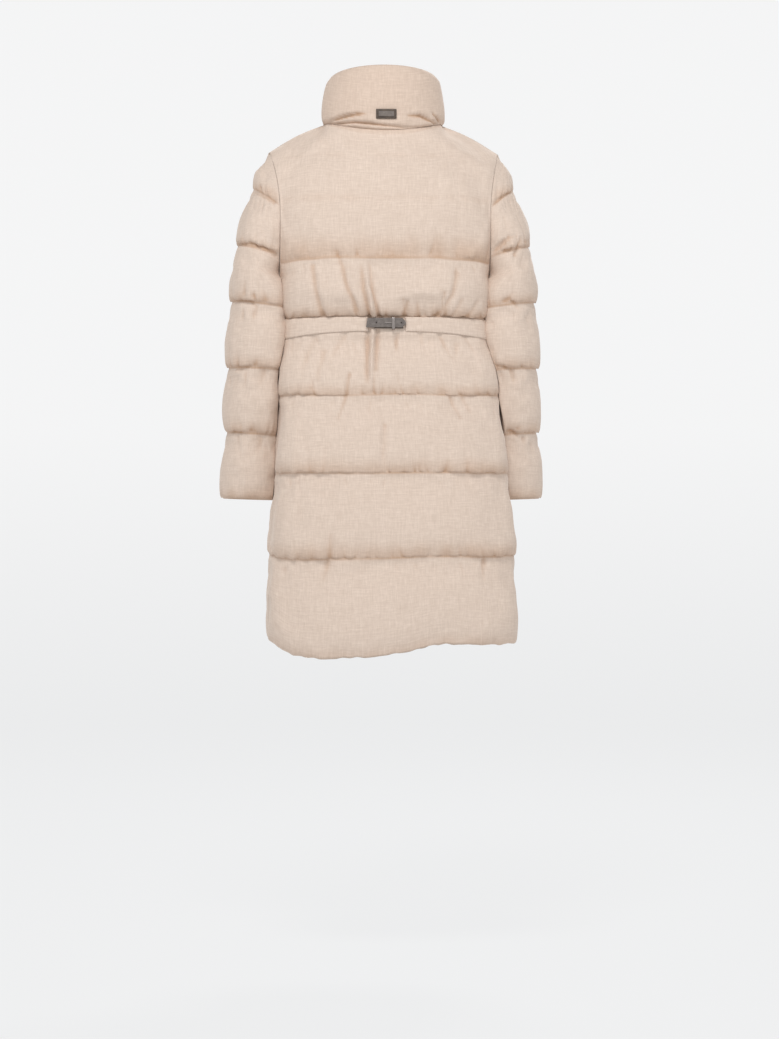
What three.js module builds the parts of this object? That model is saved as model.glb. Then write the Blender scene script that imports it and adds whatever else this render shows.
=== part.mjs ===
// A long down coat in its worn form: a hollow shell of padded, horizontally quilted wool cloth with
// a stand collar, a covered front, hanging sleeves and a half belt that buckles across the back.
//
// Millimetres. +Z is up, the front faces -Y and the wearer's left is +X. The origin lies in the
// middle of the neck, level with the seam at the nape.
//
// Every padded piece is a grid of points on the garment's base form. Its outer face stands out from
// that form by the padding's height between two quilting seams, and its inner face lies inside it.

import * as THREE from 'three';

// ---------------------------------------------------------------- driving dimensions

const SEAM_GAP = 0.4;                 // between two pieces that are sewn together
const ARMHOLE_GAP = 0.9;              // there the facets of body and sleeve differ a little
const HARD_GAP = 0.3;                 // between the small hard pieces
const WALL = 3;                       // both cloths and the lining where they are stitched through
const INNER_SWELL = 2.5;              // how far the padding pushes the lining in

const NECK = { halfWidth: 106, centreY: -8, backDepth: 90, frontDepth: 92, sideZ: 20, frontZ: -48 };
const SHOULDER_TIP = { x: 206, z: -32, crown: 5 };
const NECK_SHARE = 0.52;              // the part of a panel's width that the neckline takes up
const ARMHOLE = { halfDepth: 72, levelZ: -150, topRise: 118, bottomDrop: 112, x: 187, topOut: 19 };
const UNDERARM_Z = ARMHOLE.levelZ - ARMHOLE.bottomDrop;
const YOKE_STEPS = [0, 0.2, 0.4, 0.6, 0.8, 1];   // from the shoulder or neckline to armhole level
const YOKE_PUFF = 8;
const YOKE_ARC = { centre: 55, edge: 90 };       // degrees of arc a column turns through

const POWER = { back: 2.6, front: 2.2 };         // how square the body's half sections are
const OUTWARD = { x: 210, y: 130, z: 230, levelZ: -200 };

// Half widths and depths of the coat at its quilting seams.
const BODY = [
  { z: -150, half: 200, back: 118, front: 138 },
  { z: -230, half: 189, back: 118, front: 146 },
  { z: -262, half: 188, back: 116, front: 146 },
  { z: -347, half: 185, back: 98, front: 136 },
  { z: -470, half: 197, back: 112, front: 142 },
  { z: -608, half: 208, back: 130, front: 150 },
  { z: -758, half: 219, back: 138, front: 156 },
  { z: -922, half: 221, back: 138, front: 156 },
];
const SIDE_SEAM = { lowY: 14, topZ: -262, lowZ: -608 };
const SWAY = { x: -14, topZ: -262, lowZ: -620 };  // the worn coat swings a little to the right
// and hangs unevenly: how far below its own level the hem lies across the coat, from x to x
const HEM_START_Z = -680;
const HEM_DROPS = [
  { x: -221, drop: -10 }, { x: -110, drop: -14 }, { x: -60, drop: -11 }, { x: -10, drop: 1 },
  { x: 60, drop: 8 }, { x: 140, drop: 10 }, { x: 190, drop: 2 }, { x: 221, drop: -18 },
];

// Padded channels below armhole level. A share is where a row of points lies from top to bottom.
const CHANNELS = [
  { top: -230, bottom: -331, puff: 12, shares: [0.15, 0.317, 0.6, 0.85] },
  { top: -363, bottom: -470, puff: 12, shares: [0.2, 0.5, 0.8] },
  { top: -470, bottom: -608, puff: 14, shares: [0.2, 0.5, 0.8] },
  { top: -608, bottom: -758, puff: 15, shares: [0.2, 0.5, 0.8] },
  { top: -758, bottom: -922, puff: 16, shares: [0.15, 0.5, 0.85] },
];
const CHEST_ROWS = [-175, -203];      // rows between armhole level and the first quilting seam
const CHEST_SHARES = { yoke: 0.64, total: 1 };
const SAG = 1.12;                     // above 1, the padding is fuller below a channel's middle
const FULLNESS = 2.6;                 // the higher, the steeper the padding rises from its seams

// Columns across a panel: a fixed distance from the centre line, an angle round the neckline in
// degrees, or a share of the shoulder seam.
const BACK_FOLD = {
  x: 25, halfWidth: 11, height: 6, shareOnBand: 0.2, topZ: -235, fullZ: -290, lessZ: -400, endZ: -470,
};
const BACK_CENTRE = [-33, -10, BACK_FOLD.x - BACK_FOLD.halfWidth, BACK_FOLD.x,
  BACK_FOLD.x + BACK_FOLD.halfWidth];
const NECK_ANGLES = [38, 55, 72, 90];
const SHOULDER_SHARES = [0.33, 0.66, 1];
const PLACKET = { flat: 9, half: 26, thick: 5, lift: SEAM_GAP };
const FRONT_FULL_X = 90;              // from the placket to here the fronts' padding grows to full

// Sleeves. Each seam names a ring round the arm: its outermost and innermost points, the middle
// and half of its depth, and, down to the underarm, how far round the armhole it meets the body.
const SLEEVE_TOP_ANGLE = 20;
const SLEEVE_RINGS = [
  { angle: 0, outX: 206, outZ: -32, y: 0, half: 72, seam: true },
  { angle: 82, outX: 233, outZ: -98, y: 0, half: 72, seam: true, puff: 9 },
  { angle: 129, outX: 261, outZ: -200, y: 0, half: 72, seam: true, puff: 9 },
  { angle: 180, outX: 266, outZ: -247, inX: 188, inZ: -262, y: 0, half: 72, seam: false },
  { outX: 271, outZ: -300, inX: 190, inZ: -313, y: -4, half: 70, seam: true, puff: 9 },
  { outX: 277, outZ: -418, inX: 192, inZ: -423, y: -18, half: 66, seam: true, puff: 9 },
  { outX: 280, outZ: -533, inX: 197, inZ: -540, y: -40, half: 60, seam: true, puff: 9 },
  { outX: 287, outZ: -652, inX: 199, inZ: -655, y: -62, half: 55, seam: true, puff: 8 },
];
const SLEEVE_COLUMNS = 12;
const SLEEVE_CLEARANCE = 3;

const COLLAR = {
  backTopZ: 116, frontTopZ: 66, topHalfWidth: 97, topCentreY: -14, topHalfDepth: 92,
  flatToDegrees: 8, fullFromDegrees: 35, innerShare: 0.4,
};
const COLLAR_ROWS = [
  { share: 0, puff: 0 }, { share: 0.05, puff: 5 }, { share: 0.1, puff: 0.5 },
  { share: 0.2, puff: 5 }, { share: 0.5, puff: 7 }, { share: 0.8, puff: 6 },
  { share: 0.95, puff: 4 }, { share: 1, puff: 1 },
];

const BAND = { topZ: -331, bottomZ: -363 };
const BELT = { height: 29, thick: 3, lift: SEAM_GAP, centreZ: -347 };
const STRAP = { left: 37, right: -34, high: 16.5, thick: 2.2, slant: 3, point: 6, centreZ: -343 };
const STRAP_BASE = { left: 22, right: -29, high: 15, thick: 2.4, drop: 2.5 };
const BUCKLE = { x: -11.5, wide: 5, high: 23, leg: 2, bridge: 1.6, gap: 0.5 };
const PRONG = { long: 15, wide: 1.8, thick: 1.4 };
const PLATE = { wide: 36, high: 16.5, thick: 2, z: 27.5, tilt: 1 };
const INSET = { wide: 27, high: 8.5, thick: 0.8 };
const SNAP = { radius: 7.5, thick: 2.4, dome: 0.8, rows: [3, 9, 14, 19, 24, 28, 32] };

const COLOURS = {
  cloth: 0xdfc9b7, leather: 0x776f6a, metal: 0x8d8781, plate: 0x4b3e32, snap: 0x57514c,
};

// ---------------------------------------------------------------- small helpers

const radians = THREE.MathUtils.degToRad;
const { lerp, clamp, smoothstep } = THREE.MathUtils;
const vec = (x, y, z) => new THREE.Vector3(x, y, z);
const raised = (base, power) => Math.pow(Math.abs(base), power);

function material(color, roughness, metalness = 0) {
  return new THREE.MeshStandardMaterial({ color, roughness, metalness });
}

// A named column of a table, read between its rows on a smooth curve.
function tableValue(table, key, at, column) {
  const last = table.length - 1;
  const falling = table[last][key] < table[0][key] ? -1 : 1;
  let i = 0;
  while (i < last - 1 && falling * at > falling * table[i + 1][key]) i += 1;
  const from = table[i];
  const to = table[i + 1];
  const span = to[key] - from[key];
  const share = clamp((at - from[key]) / span, 0, 1);
  const slope = (k) => {
    const before = table[Math.max(k - 1, 0)];
    const after = table[Math.min(k + 1, last)];
    return ((after[column] - before[column]) / (after[key] - before[key])) * span;
  };
  const square = share * share;
  const cube = square * share;
  return (2 * cube - 3 * square + 1) * from[column] + (cube - 2 * square + share) * slope(i)
    + (3 * square - 2 * cube) * to[column] + (cube - square) * slope(i + 1);
}

// Height of the padding between two seams, 0 to 1: steep at each seam, fuller below the middle.
const padding = (share) => 1 - raised(2 * Math.pow(clamp(share, 0, 1), SAG) - 1, FULLNESS);

// One closed body from an outer and an inner grid of the same size: the two faces, and a rim
// along every edge that the grid doesn't close on itself.
function shellSolid(outer, inner) {
  const index = new Map();
  const outside = [];
  const inside = [];
  const ids = outer.map((row, r) => row.map((point, c) => {
    const key = point.toArray().map((value) => Math.round(value * 1000)).join();
    if (!index.has(key)) {
      index.set(key, outside.length);
      outside.push(point);
      inside.push(inner[r][c]);
    }
    return index.get(key);
  }));
  const faces = [];
  const addFace = (a, b, c) => {
    if (a !== b && b !== c && c !== a) faces.push([a, b, c]);
  };
  for (let r = 0; r < ids.length - 1; r += 1) {
    for (let c = 0; c < ids[r].length - 1; c += 1) {
      addFace(ids[r][c], ids[r + 1][c], ids[r + 1][c + 1]);
      addFace(ids[r][c], ids[r + 1][c + 1], ids[r][c + 1]);
    }
  }
  const edges = new Set(faces.flatMap(([a, b, c]) => [`${a},${b}`, `${b},${c}`, `${c},${a}`]));
  const lift = outside.length;
  const all = faces.flatMap(([a, b, c]) => [[a, b, c], [c + lift, b + lift, a + lift]]);
  for (const edge of edges) {
    const [a, b] = edge.split(',').map(Number);
    if (!edges.has(`${b},${a}`)) all.push([b, a, a + lift], [b, a + lift, b + lift]);
  }
  return facesOut([...outside, ...inside], all);
}

// A geometry from points and triangles, turned so that its faces point out.
function facesOut(points, faces) {
  const volume = faces.reduce((sum, [a, b, c]) => (
    sum + points[a].dot(vec().crossVectors(points[b], points[c]))), 0);
  const order = volume < 0 ? faces.map(([a, b, c]) => [a, c, b]) : faces;
  const geometry = new THREE.BufferGeometry();
  geometry.setAttribute('position', new THREE.Float32BufferAttribute(
    points.flatMap((point) => point.toArray()), 3));
  geometry.setIndex(order.flat());
  geometry.computeVertexNormals();
  return geometry;
}

const moved = (grid, offset) => grid.map((row) => row.map((point) => point.clone().add(offset)));

// ---------------------------------------------------------------- the body's base form

const sway = (z) => SWAY.x * smoothstep(-z, -SWAY.topZ, -SWAY.lowZ);
const sideSeamY = (z) => SIDE_SEAM.lowY * smoothstep(-z, -SIDE_SEAM.topZ, -SIDE_SEAM.lowZ);

// A point of the left armhole. 0 degrees is the shoulder tip and 180 the underarm.
function armhole(degrees) {
  const up = Math.cos(radians(degrees));
  const reach = up > 0 ? ARMHOLE.topRise : ARMHOLE.bottomDrop;
  const out = up > 0 ? ARMHOLE.topOut : 1;
  return vec(ARMHOLE.x + out * up * up, ARMHOLE.halfDepth * Math.sin(radians(degrees)),
    ARMHOLE.levelZ + reach * up);
}

// A half section of the body at one height: how wide and deep it is, and the angle at which it
// ends, on the armhole or at the side seam.
function section(side, z) {
  const power = POWER[side];
  const seamY = sideSeamY(z);
  const depth = tableValue(BODY, 'z', z, side) - (side === 'back' ? seamY : -seamY);
  if (z <= UNDERARM_Z) {
    return { power, depth, seamY, half: tableValue(BODY, 'z', z, 'half'), end: Math.PI / 2 };
  }
  const turn = Math.acos((z - ARMHOLE.levelZ) / ARMHOLE.bottomDrop);
  const edge = armhole(THREE.MathUtils.radToDeg(turn));
  const narrow = Math.pow(1 - raised(edge.y / depth, power), 1 / power);
  return { power, depth, seamY, half: edge.x / narrow, end: Math.asin(Math.pow(narrow, power / 2)) };
}

// The angle on a section at which a column lies.
function columnAngle(cut, column) {
  if (column.x === undefined) return column.share * cut.end;
  return Math.sign(column.x) * Math.asin(raised(column.x / cut.half, cut.power / 2));
}

function sectionPoint(side, cut, angle, z) {
  const facing = side === 'back' ? 1 : -1;
  const x = Math.sign(angle) * cut.half * raised(Math.sin(angle), 2 / cut.power);
  const y = cut.seamY + facing * cut.depth * raised(Math.cos(angle), 2 / cut.power);
  return vec(x, y, z);
}

// Where a column starts, on the neckline or the shoulder seam.
function topPoint(side, column) {
  const along = Math.abs(column.share);
  if (along > NECK_SHARE) {
    const out = (along - NECK_SHARE) / (1 - NECK_SHARE);
    const crown = SHOULDER_TIP.crown * Math.sin(Math.PI * out);
    return vec(Math.sign(column.share) * lerp(NECK.halfWidth, SHOULDER_TIP.x, out),
      lerp(NECK.centreY, 0, out), lerp(NECK.sideZ, SHOULDER_TIP.z, out) + crown);
  }
  const angle = column.x === undefined ? radians(90) * (column.share / NECK_SHARE)
    : Math.asin(column.x / NECK.halfWidth);
  return necklinePoint(side, angle);
}

function necklinePoint(side, angle) {
  const facing = side === 'back' ? 1 : -1;
  const depth = side === 'back' ? NECK.backDepth : NECK.frontDepth;
  const middleZ = side === 'back' ? 0 : NECK.frontZ;
  const cosine = Math.cos(angle);
  return vec(NECK.halfWidth * Math.sin(angle), NECK.centreY + facing * depth * cosine,
    lerp(NECK.sideZ, middleZ, cosine * cosine));
}

// Above armhole level a column rounds over the shoulder on part of an ellipse.
function yokePoint(side, column, step) {
  const top = topPoint(side, column);
  const cut = section(side, ARMHOLE.levelZ);
  const low = sectionPoint(side, cut, columnAngle(cut, column), ARMHOLE.levelZ);
  const arc = radians(lerp(YOKE_ARC.centre, YOKE_ARC.edge, Math.abs(column.share) ** 2));
  const turn = arc * (1 - step);
  const up = Math.sin(turn) / Math.sin(arc);
  const back = (Math.cos(turn) - Math.cos(arc)) / (1 - Math.cos(arc));
  const across = Math.sin(radians(90) * (1 - step)) ** 2;
  return vec(lerp(low.x, top.x, across), lerp(top.y, low.y, back), lerp(low.z, top.z, up));
}

// The direction in which padding stands out of the body. It depends on the place alone, so the
// rims of two pieces that meet stay parallel.
function outward(point) {
  const rise = Math.max(0, point.z - OUTWARD.levelZ);
  return vec(point.x / OUTWARD.x ** 2, point.y / OUTWARD.y ** 2, rise / OUTWARD.z ** 2).normalize();
}

const across = (share) => 1 - Math.abs(share) ** 4;

// Height of the body's padding, 0 to the channel's own, at any height below the armholes' level.
function bodyFill(z) {
  const channel = CHANNELS.find(({ top, bottom }) => z <= top && z >= bottom);
  return channel ? channel.puff * padding((channel.top - z) / (channel.top - channel.bottom)) : 0;
}

// ---------------------------------------------------------------- back and fronts

// The rows of a panel from its top to the hem: where each lies and how full the padding is there.
function panelRows() {
  const chestShare = (z) => lerp(CHEST_SHARES.yoke, CHEST_SHARES.total,
    (ARMHOLE.levelZ - z) / (ARMHOLE.levelZ - CHANNELS[0].top));
  const rows = YOKE_STEPS.map((step) => (
    { step, fill: YOKE_PUFF * padding(step * CHEST_SHARES.yoke) }));
  rows.push(...CHEST_ROWS.map((z) => ({ z, fill: YOKE_PUFF * padding(chestShare(z)) })));
  for (const { top, bottom, puff, shares } of CHANNELS) {
    rows.push({ z: top, fill: 0 });
    rows.push(...shares.map((share) => ({ z: lerp(top, bottom, share), fill: puff * padding(share) })));
    rows.push({ z: bottom, fill: 0 });
  }
  return rows.filter((row, i) => i === 0 || row.z === undefined || row.z !== rows[i - 1].z);
}

const ROWS = panelRows();

function panelPoint(side, column, row) {
  if (row.step !== undefined) return yokePoint(side, column, row.step);
  const cut = section(side, row.z);
  return sectionPoint(side, cut, columnAngle(cut, column), row.z);
}

// The soft upright fold that gathers the back above and below its belt.
function backFold(column, row) {
  if (column.x !== BACK_FOLD.x || row.z === undefined) return 0;
  const above = smoothstep(-row.z, -BACK_FOLD.topZ, -BACK_FOLD.fullZ);
  const below = 1 - smoothstep(-row.z, -BACK_FOLD.lessZ, -BACK_FOLD.endZ);
  return BACK_FOLD.height * above * below * (row.fill > 0 ? 1 : BACK_FOLD.shareOnBand);
}

// Outer and inner points of a panel. Both carry the body's sway and the hem's fall.
function panelGrids(side, columns) {
  const place = (point) => {
    const low = smoothstep(-point.z, -HEM_START_Z, -BODY.at(-1).z);
    const drop = low * tableValue(HEM_DROPS, 'x', point.x, 'drop');
    return vec(point.x + sway(point.z), point.y, point.z - drop);
  };
  const outer = [];
  const inner = [];
  for (const row of ROWS) {
    const bases = columns.map((column) => panelPoint(side, column, row));
    const fills = columns.map((column) => {
      const open = side === 'front'
        ? smoothstep(Math.abs(column.x ?? FRONT_FULL_X), PLACKET.half, FRONT_FULL_X) : 1;
      return row.fill * across(column.share) * open;
    });
    outer.push(bases.map((base, i) => {
      const fold = side === 'back' ? backFold(columns[i], row) : 0;
      return place(base.clone().addScaledVector(outward(base), fills[i] + fold));
    }));
    inner.push(bases.map((base, i) => {
      const depth = WALL + INNER_SWELL * (fills[i] / YOKE_PUFF);
      return place(base.clone().addScaledVector(outward(base), -depth));
    }));
  }
  return { outer, inner };
}

// Columns at a fixed distance from the centre keep their share for the neckline and the fading.
const fixedColumn = (x) => (
  { x, share: NECK_SHARE * Math.asin(x / NECK.halfWidth) / radians(90) });
const sideColumns = [
  ...NECK_ANGLES.map((angle) => ({ share: NECK_SHARE * angle / 90 })),
  ...SHOULDER_SHARES.map((share) => ({ share: lerp(NECK_SHARE, 1, share) })),
];
const mirrored = (columns) => columns.map(({ x, share }) => (
  { x: x === undefined ? undefined : -x, share: -share })).reverse();

const backColumns = [...mirrored(sideColumns), ...BACK_CENTRE.map(fixedColumn), ...sideColumns];
const frontColumns = [
  ...[0, PLACKET.flat, PLACKET.half].map(fixedColumn), ...sideColumns];

const back = panelGrids('back', backColumns);
const frontLeft = panelGrids('front', frontColumns);
const frontRight = panelGrids('front', mirrored(frontColumns));
const backShift = vec(0, SEAM_GAP / 2, 0);
const frontShift = (direction) => vec(direction * SEAM_GAP / 2, -SEAM_GAP / 2, 0);

function panelSolid(grids, offset) {
  return shellSolid(moved(grids.outer, offset), moved(grids.inner, offset));
}

// ---------------------------------------------------------------- sleeves

// How far out the swaying body and its padding reach beside the sleeve on one side.
function bodyReach(y, z, direction) {
  const side = y > sideSeamY(z) ? 'back' : 'front';
  const cut = section(side, Math.min(z, UNDERARM_Z));
  const deep = clamp(Math.abs(y - cut.seamY) / cut.depth, 0, 1);
  const angle = Math.acos(Math.pow(deep, cut.power / 2));
  const x = cut.half * raised(Math.sin(angle), 2 / cut.power);
  return x + direction * sway(z) + bodyFill(z) * across(angle / cut.end) + SLEEVE_CLEARANCE;
}

// Rows of rings down the sleeve, with extra ones between each two seams.
function sleeveRows() {
  const rows = [{ arc: true, fill: 0 }];
  const seams = SLEEVE_RINGS.filter(({ seam }) => seam);
  const shares = [0.2, 0.5, 0.8];
  seams.slice(1).forEach((lower, i) => {
    const upper = seams[i];
    const first = SLEEVE_RINGS.indexOf(upper);
    const last = SLEEVE_RINGS.indexOf(lower);
    const between = i === 0 ? [0.4, 0.62, 0.82] : shares;
    for (const share of [...between, 1]) {
      rows.push({ at: lerp(first, last, share), fill: share < 1 ? lower.puff * padding(share) : 0 });
    }
  });
  return rows;
}

// The ring at a place between two rows of the table.
function sleeveRing(at) {
  const from = SLEEVE_RINGS[Math.min(Math.floor(at), SLEEVE_RINGS.length - 2)];
  const to = SLEEVE_RINGS[SLEEVE_RINGS.indexOf(from) + 1];
  const share = at - SLEEVE_RINGS.indexOf(from);
  const mix = (name) => lerp(from[name], to[name], share);
  const out = vec(mix('outX'), mix('y'), mix('outZ'));
  if (to.angle !== undefined) {
    const angle = mix('angle');
    const joint = armhole(angle);
    const turn = radians(angle);
    return { out, inX: joint.x, inZ: joint.z, half: mix('half'), turn, joined: true };
  }
  return { out, inX: mix('inX'), inZ: mix('inZ'), half: mix('half'), turn: Math.PI, joined: false };
}

// A point of a ring and the direction that points out of the arm there. Where the ring ends on the
// armhole, that direction never leans over the body.
function ringPoint(ring, share) {
  const angle = ring.turn * share;
  const reach = vec(ring.out.x - ring.inX, 0, ring.out.z - ring.inZ)
    .divideScalar(1 - Math.cos(ring.turn));
  const base = ring.out.clone().addScaledVector(reach, Math.cos(angle) - 1);
  base.y += ring.half * Math.sin(angle);
  const away = reach.normalize().multiplyScalar(Math.cos(angle));
  away.y = Math.sin(angle);
  const edge = ring.joined ? Math.abs(share) ** 6 : 0;
  away.x = lerp(away.x, Math.min(away.x, 0), edge);
  return { base, away: away.normalize() };
}

function armholeArc(share) {
  const degrees = SLEEVE_TOP_ANGLE * share;
  return { base: armhole(degrees), away: vec(0, Math.sin(radians(degrees)), Math.cos(radians(degrees))) };
}

function sleeve(direction) {
  const outer = [];
  const inner = [];
  for (const row of sleeveRows()) {
    const ring = row.arc ? null : sleeveRing(row.at);
    const outerRow = [];
    const innerRow = [];
    for (let c = 0; c <= SLEEVE_COLUMNS; c += 1) {
      const share = (2 * c) / SLEEVE_COLUMNS - 1;
      const { base, away } = ring ? ringPoint(ring, share) : armholeArc(share);
      const fill = row.fill * (1 - Math.abs(share) ** 3);
      const outside = base.clone().addScaledVector(away, fill);
      const inside = base.clone().addScaledVector(away, -WALL - INNER_SWELL * (fill / YOKE_PUFF));
      if (ring && ring.turn > radians(179)) {
        outside.x = Math.max(outside.x, bodyReach(outside.y, outside.z, direction));
        inside.x = Math.max(inside.x, bodyReach(inside.y, inside.z, direction) + WALL);
      }
      outerRow.push(outside);
      innerRow.push(inside);
    }
    outer.push(outerRow);
    inner.push(innerRow);
  }
  const turned = (grid) => grid.map((row) => row.map((point) => (
    vec(direction * (point.x + ARMHOLE_GAP), point.y, point.z))));
  return shellSolid(turned(outer), turned(inner));
}

// ---------------------------------------------------------------- collar

// The neckline's columns once round, from the front edge on the right, over the back, to the left.
function collarAngles() {
  const angleOf = ({ share }) => radians(90) * (share / NECK_SHARE);
  const neckOnly = (columns) => columns.filter(({ share }) => Math.abs(share) <= NECK_SHARE);
  const overBack = neckOnly(backColumns).map(angleOf);
  const leftFront = neckOnly(frontColumns).map((column) => Math.PI - angleOf(column));
  const onLeft = leftFront.reverse().slice(1);
  return [...onLeft.map((angle) => -angle).reverse(), ...overBack, ...onLeft];
}

function collarPoint(angle, share) {
  const side = Math.abs(angle) <= radians(90) ? 'back' : 'front';
  const low = necklinePoint(side, side === 'back' ? angle : Math.PI - angle);
  const lean = smoothstep(share, 0, 1);
  const high = vec(COLLAR.topHalfWidth * Math.sin(angle),
    COLLAR.topCentreY + COLLAR.topHalfDepth * Math.cos(angle), 0);
  const toBack = raised((1 + Math.cos(angle)) / 2, 0.6);
  const topZ = lerp(COLLAR.frontTopZ, COLLAR.backTopZ, toBack);
  return vec(lerp(low.x, high.x, lean), lerp(low.y, high.y, lean),
    lerp(low.z + SEAM_GAP, topZ, share));
}

function collarGrids() {
  const angles = collarAngles();
  const edge = (angle) => smoothstep(Math.PI - Math.abs(angle), radians(COLLAR.flatToDegrees),
    radians(COLLAR.fullFromDegrees));
  const outer = [];
  const inner = [];
  for (const { share, puff } of COLLAR_ROWS) {
    const bases = angles.map((angle) => collarPoint(angle, share));
    const away = angles.map((angle) => vec(Math.sin(angle), Math.cos(angle), 0));
    outer.push(bases.map((base, i) => base.clone().addScaledVector(away[i], puff * edge(angles[i]))));
    inner.push(bases.map((base, i) => (
      base.clone().addScaledVector(away[i], -WALL - COLLAR.innerShare * puff * edge(angles[i])))));
  }
  // The two front edges stand a seam's gap apart under the placket.
  for (const grid of [outer, inner]) {
    for (const row of grid) {
      row[0].x = -SEAM_GAP / 2;
      row.at(-1).x = SEAM_GAP / 2;
    }
  }
  return { outer, inner };
}

const collar = collarGrids();

// ---------------------------------------------------------------- placket and snaps

// The strip that covers the front opening, laid on the fronts' and the collar's own points.
function placketGrids() {
  const count = frontColumns.filter(({ x }) => x !== undefined).length - 1;
  const right = moved(frontRight.outer, frontShift(-1)).map((row) => row.slice(-count - 1, -1));
  const left = moved(frontLeft.outer, frontShift(1)).map((row) => row.slice(1, count + 1));
  const body = left.map((row, i) => [...right[i], ...row]);
  const neck = collar.outer.map((row) => [
    ...row.slice(1, count + 1).reverse(), ...row.slice(-count - 1, -1).reverse()]);
  const rows = [...neck.reverse(), ...body];
  const forward = vec(0, -1, 0);
  const strip = (distance) => rows.map((row) => row.map((point) => (
    point.clone().addScaledVector(forward, distance))));
  return { inner: strip(PLACKET.lift), outer: strip(PLACKET.lift + PLACKET.thick) };
}

const placket = placketGrids();

// The middle of a flat facet of the placket and the way it faces.
function placketSeat(row) {
  const middle = placket.outer[row].length / 2;
  const corners = [placket.outer[row][middle - 1], placket.outer[row][middle],
    placket.outer[row + 1][middle - 1], placket.outer[row + 1][middle]];
  const centre = corners.reduce((sum, point) => sum.add(point), vec(0, 0, 0)).divideScalar(4);
  const down = corners[2].clone().sub(corners[0]);
  const acrossStrip = corners[1].clone().sub(corners[0]);
  const normal = vec().crossVectors(down, acrossStrip).normalize();
  return { centre, normal: normal.y > 0 ? normal.negate() : normal };
}

function snapGeometry() {
  const profile = [
    new THREE.Vector2(0, 0), new THREE.Vector2(SNAP.radius, 0),
    new THREE.Vector2(SNAP.radius, SNAP.thick - SNAP.dome), new THREE.Vector2(0, SNAP.thick)];
  return new THREE.LatheGeometry(profile, 16);
}

// ---------------------------------------------------------------- half belts, strap and plate

// The strap's layers stand flat on the outermost points of the band between the half belts.
const bandRow = ROWS.findIndex(({ z }) => z === BAND.topZ);
const bandPoints = [...back.outer[bandRow], ...back.outer[bandRow + 1]];
const BASE_Y = backShift.y + SEAM_GAP
  + Math.max(...bandPoints.filter(({ x }) => Math.abs(x) < STRAP.left).map(({ y }) => y));

// A half belt lies on the flat band of the back, from the strap to just short of the side seam.
function beltGrids(direction) {
  const rows = moved(back.outer.slice(bandRow, bandRow + 2), backShift);
  const from = direction > 0 ? backColumns.findIndex(({ x }) => x === BACK_CENTRE.at(-1)) : 1;
  const to = direction > 0 ? backColumns.length - 2
    : backColumns.findIndex(({ x }) => x === BACK_CENTRE[0]);
  const edgeShares = [1, -1].map((end) => (
    (BAND.topZ - BELT.centreZ - end * BELT.height / 2) / (BAND.topZ - BAND.bottomZ)));
  const lifted = (distance) => edgeShares.map((share) => {
    const line = [];
    for (let c = from; c <= to; c += 1) {
      const point = rows[0][c].clone().lerp(rows[1][c], share);
      line.push(point.addScaledVector(outward(point), distance));
    }
    return line;
  });
  return { inner: lifted(BELT.lift), outer: lifted(BELT.lift + BELT.thick) };
}

const STRAP_Y = BASE_Y + STRAP_BASE.thick + SEAM_GAP;

// A flat outline in X and Z, extruded away from the back.
function backPlate(points, thick, y) {
  const outline = new THREE.Shape(points.map(([x, z]) => new THREE.Vector2(x, z)));
  const geometry = new THREE.ExtrudeGeometry(outline, { depth: thick, bevelEnabled: false });
  geometry.rotateX(Math.PI / 2);
  geometry.translate(0, y + thick, 0);
  return geometry;
}

const rectangle = (left, right, low, high) => [[left, low], [right, low], [right, high], [left, high]];

function strapGeometry() {
  const low = STRAP.centreZ - STRAP.high / 2;
  const high = STRAP.centreZ + STRAP.high / 2;
  const shoulder = STRAP.right + STRAP.point;
  return backPlate([
    [STRAP.left, low], [STRAP.left - STRAP.slant, high], [shoulder, high],
    [STRAP.right, STRAP.centreZ], [shoulder, low]], STRAP.thick, STRAP_Y);
}

function strapBaseGeometry() {
  const middle = STRAP.centreZ - STRAP_BASE.drop;
  return backPlate(rectangle(STRAP_BASE.right, STRAP_BASE.left,
    middle - STRAP_BASE.high / 2, middle + STRAP_BASE.high / 2), STRAP_BASE.thick, BASE_Y);
}

// The buckle's frame bridges the strap: a bar across it and a leg on each side of it.
function buckleGeometry() {
  const topY = STRAP_Y + STRAP.thick + BUCKLE.gap;
  const footY = BASE_Y;
  const half = BUCKLE.high / 2;
  const outline = new THREE.Shape([
    [footY, -half], [topY + BUCKLE.bridge, -half], [topY + BUCKLE.bridge, half], [footY, half],
    [footY, half - BUCKLE.leg], [topY, half - BUCKLE.leg], [topY, BUCKLE.leg - half],
    [footY, BUCKLE.leg - half],
  ].map(([y, z]) => new THREE.Vector2(y, z)));
  const geometry = new THREE.ExtrudeGeometry(outline, { depth: BUCKLE.wide, bevelEnabled: false });
  // The outline's axes become Y and Z, and it is extruded along X.
  geometry.applyMatrix4(new THREE.Matrix4().makeBasis(vec(0, 1, 0), vec(0, 0, 1), vec(1, 0, 0)));
  geometry.translate(BUCKLE.x - BUCKLE.wide / 2, 0, STRAP.centreZ - 1);
  return geometry;
}

function prongGeometry() {
  const start = BUCKLE.x + BUCKLE.wide / 2 + HARD_GAP;
  return backPlate(rectangle(start, start + PRONG.long,
    STRAP.centreZ - PRONG.wide / 2, STRAP.centreZ + PRONG.wide / 2), PRONG.thick,
  STRAP_Y + STRAP.thick + HARD_GAP);
}

// The plate and its plain inset lie flat against the back of the collar.
function plateGeometry({ wide, high, thick }, lift) {
  const geometry = backPlate(rectangle(-wide / 2, wide / 2, -high / 2, high / 2), thick, lift);
  geometry.rotateY(radians(-PLATE.tilt));
  geometry.translate(0, collarBackY(PLATE.z), PLATE.z);
  return geometry;
}

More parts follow.
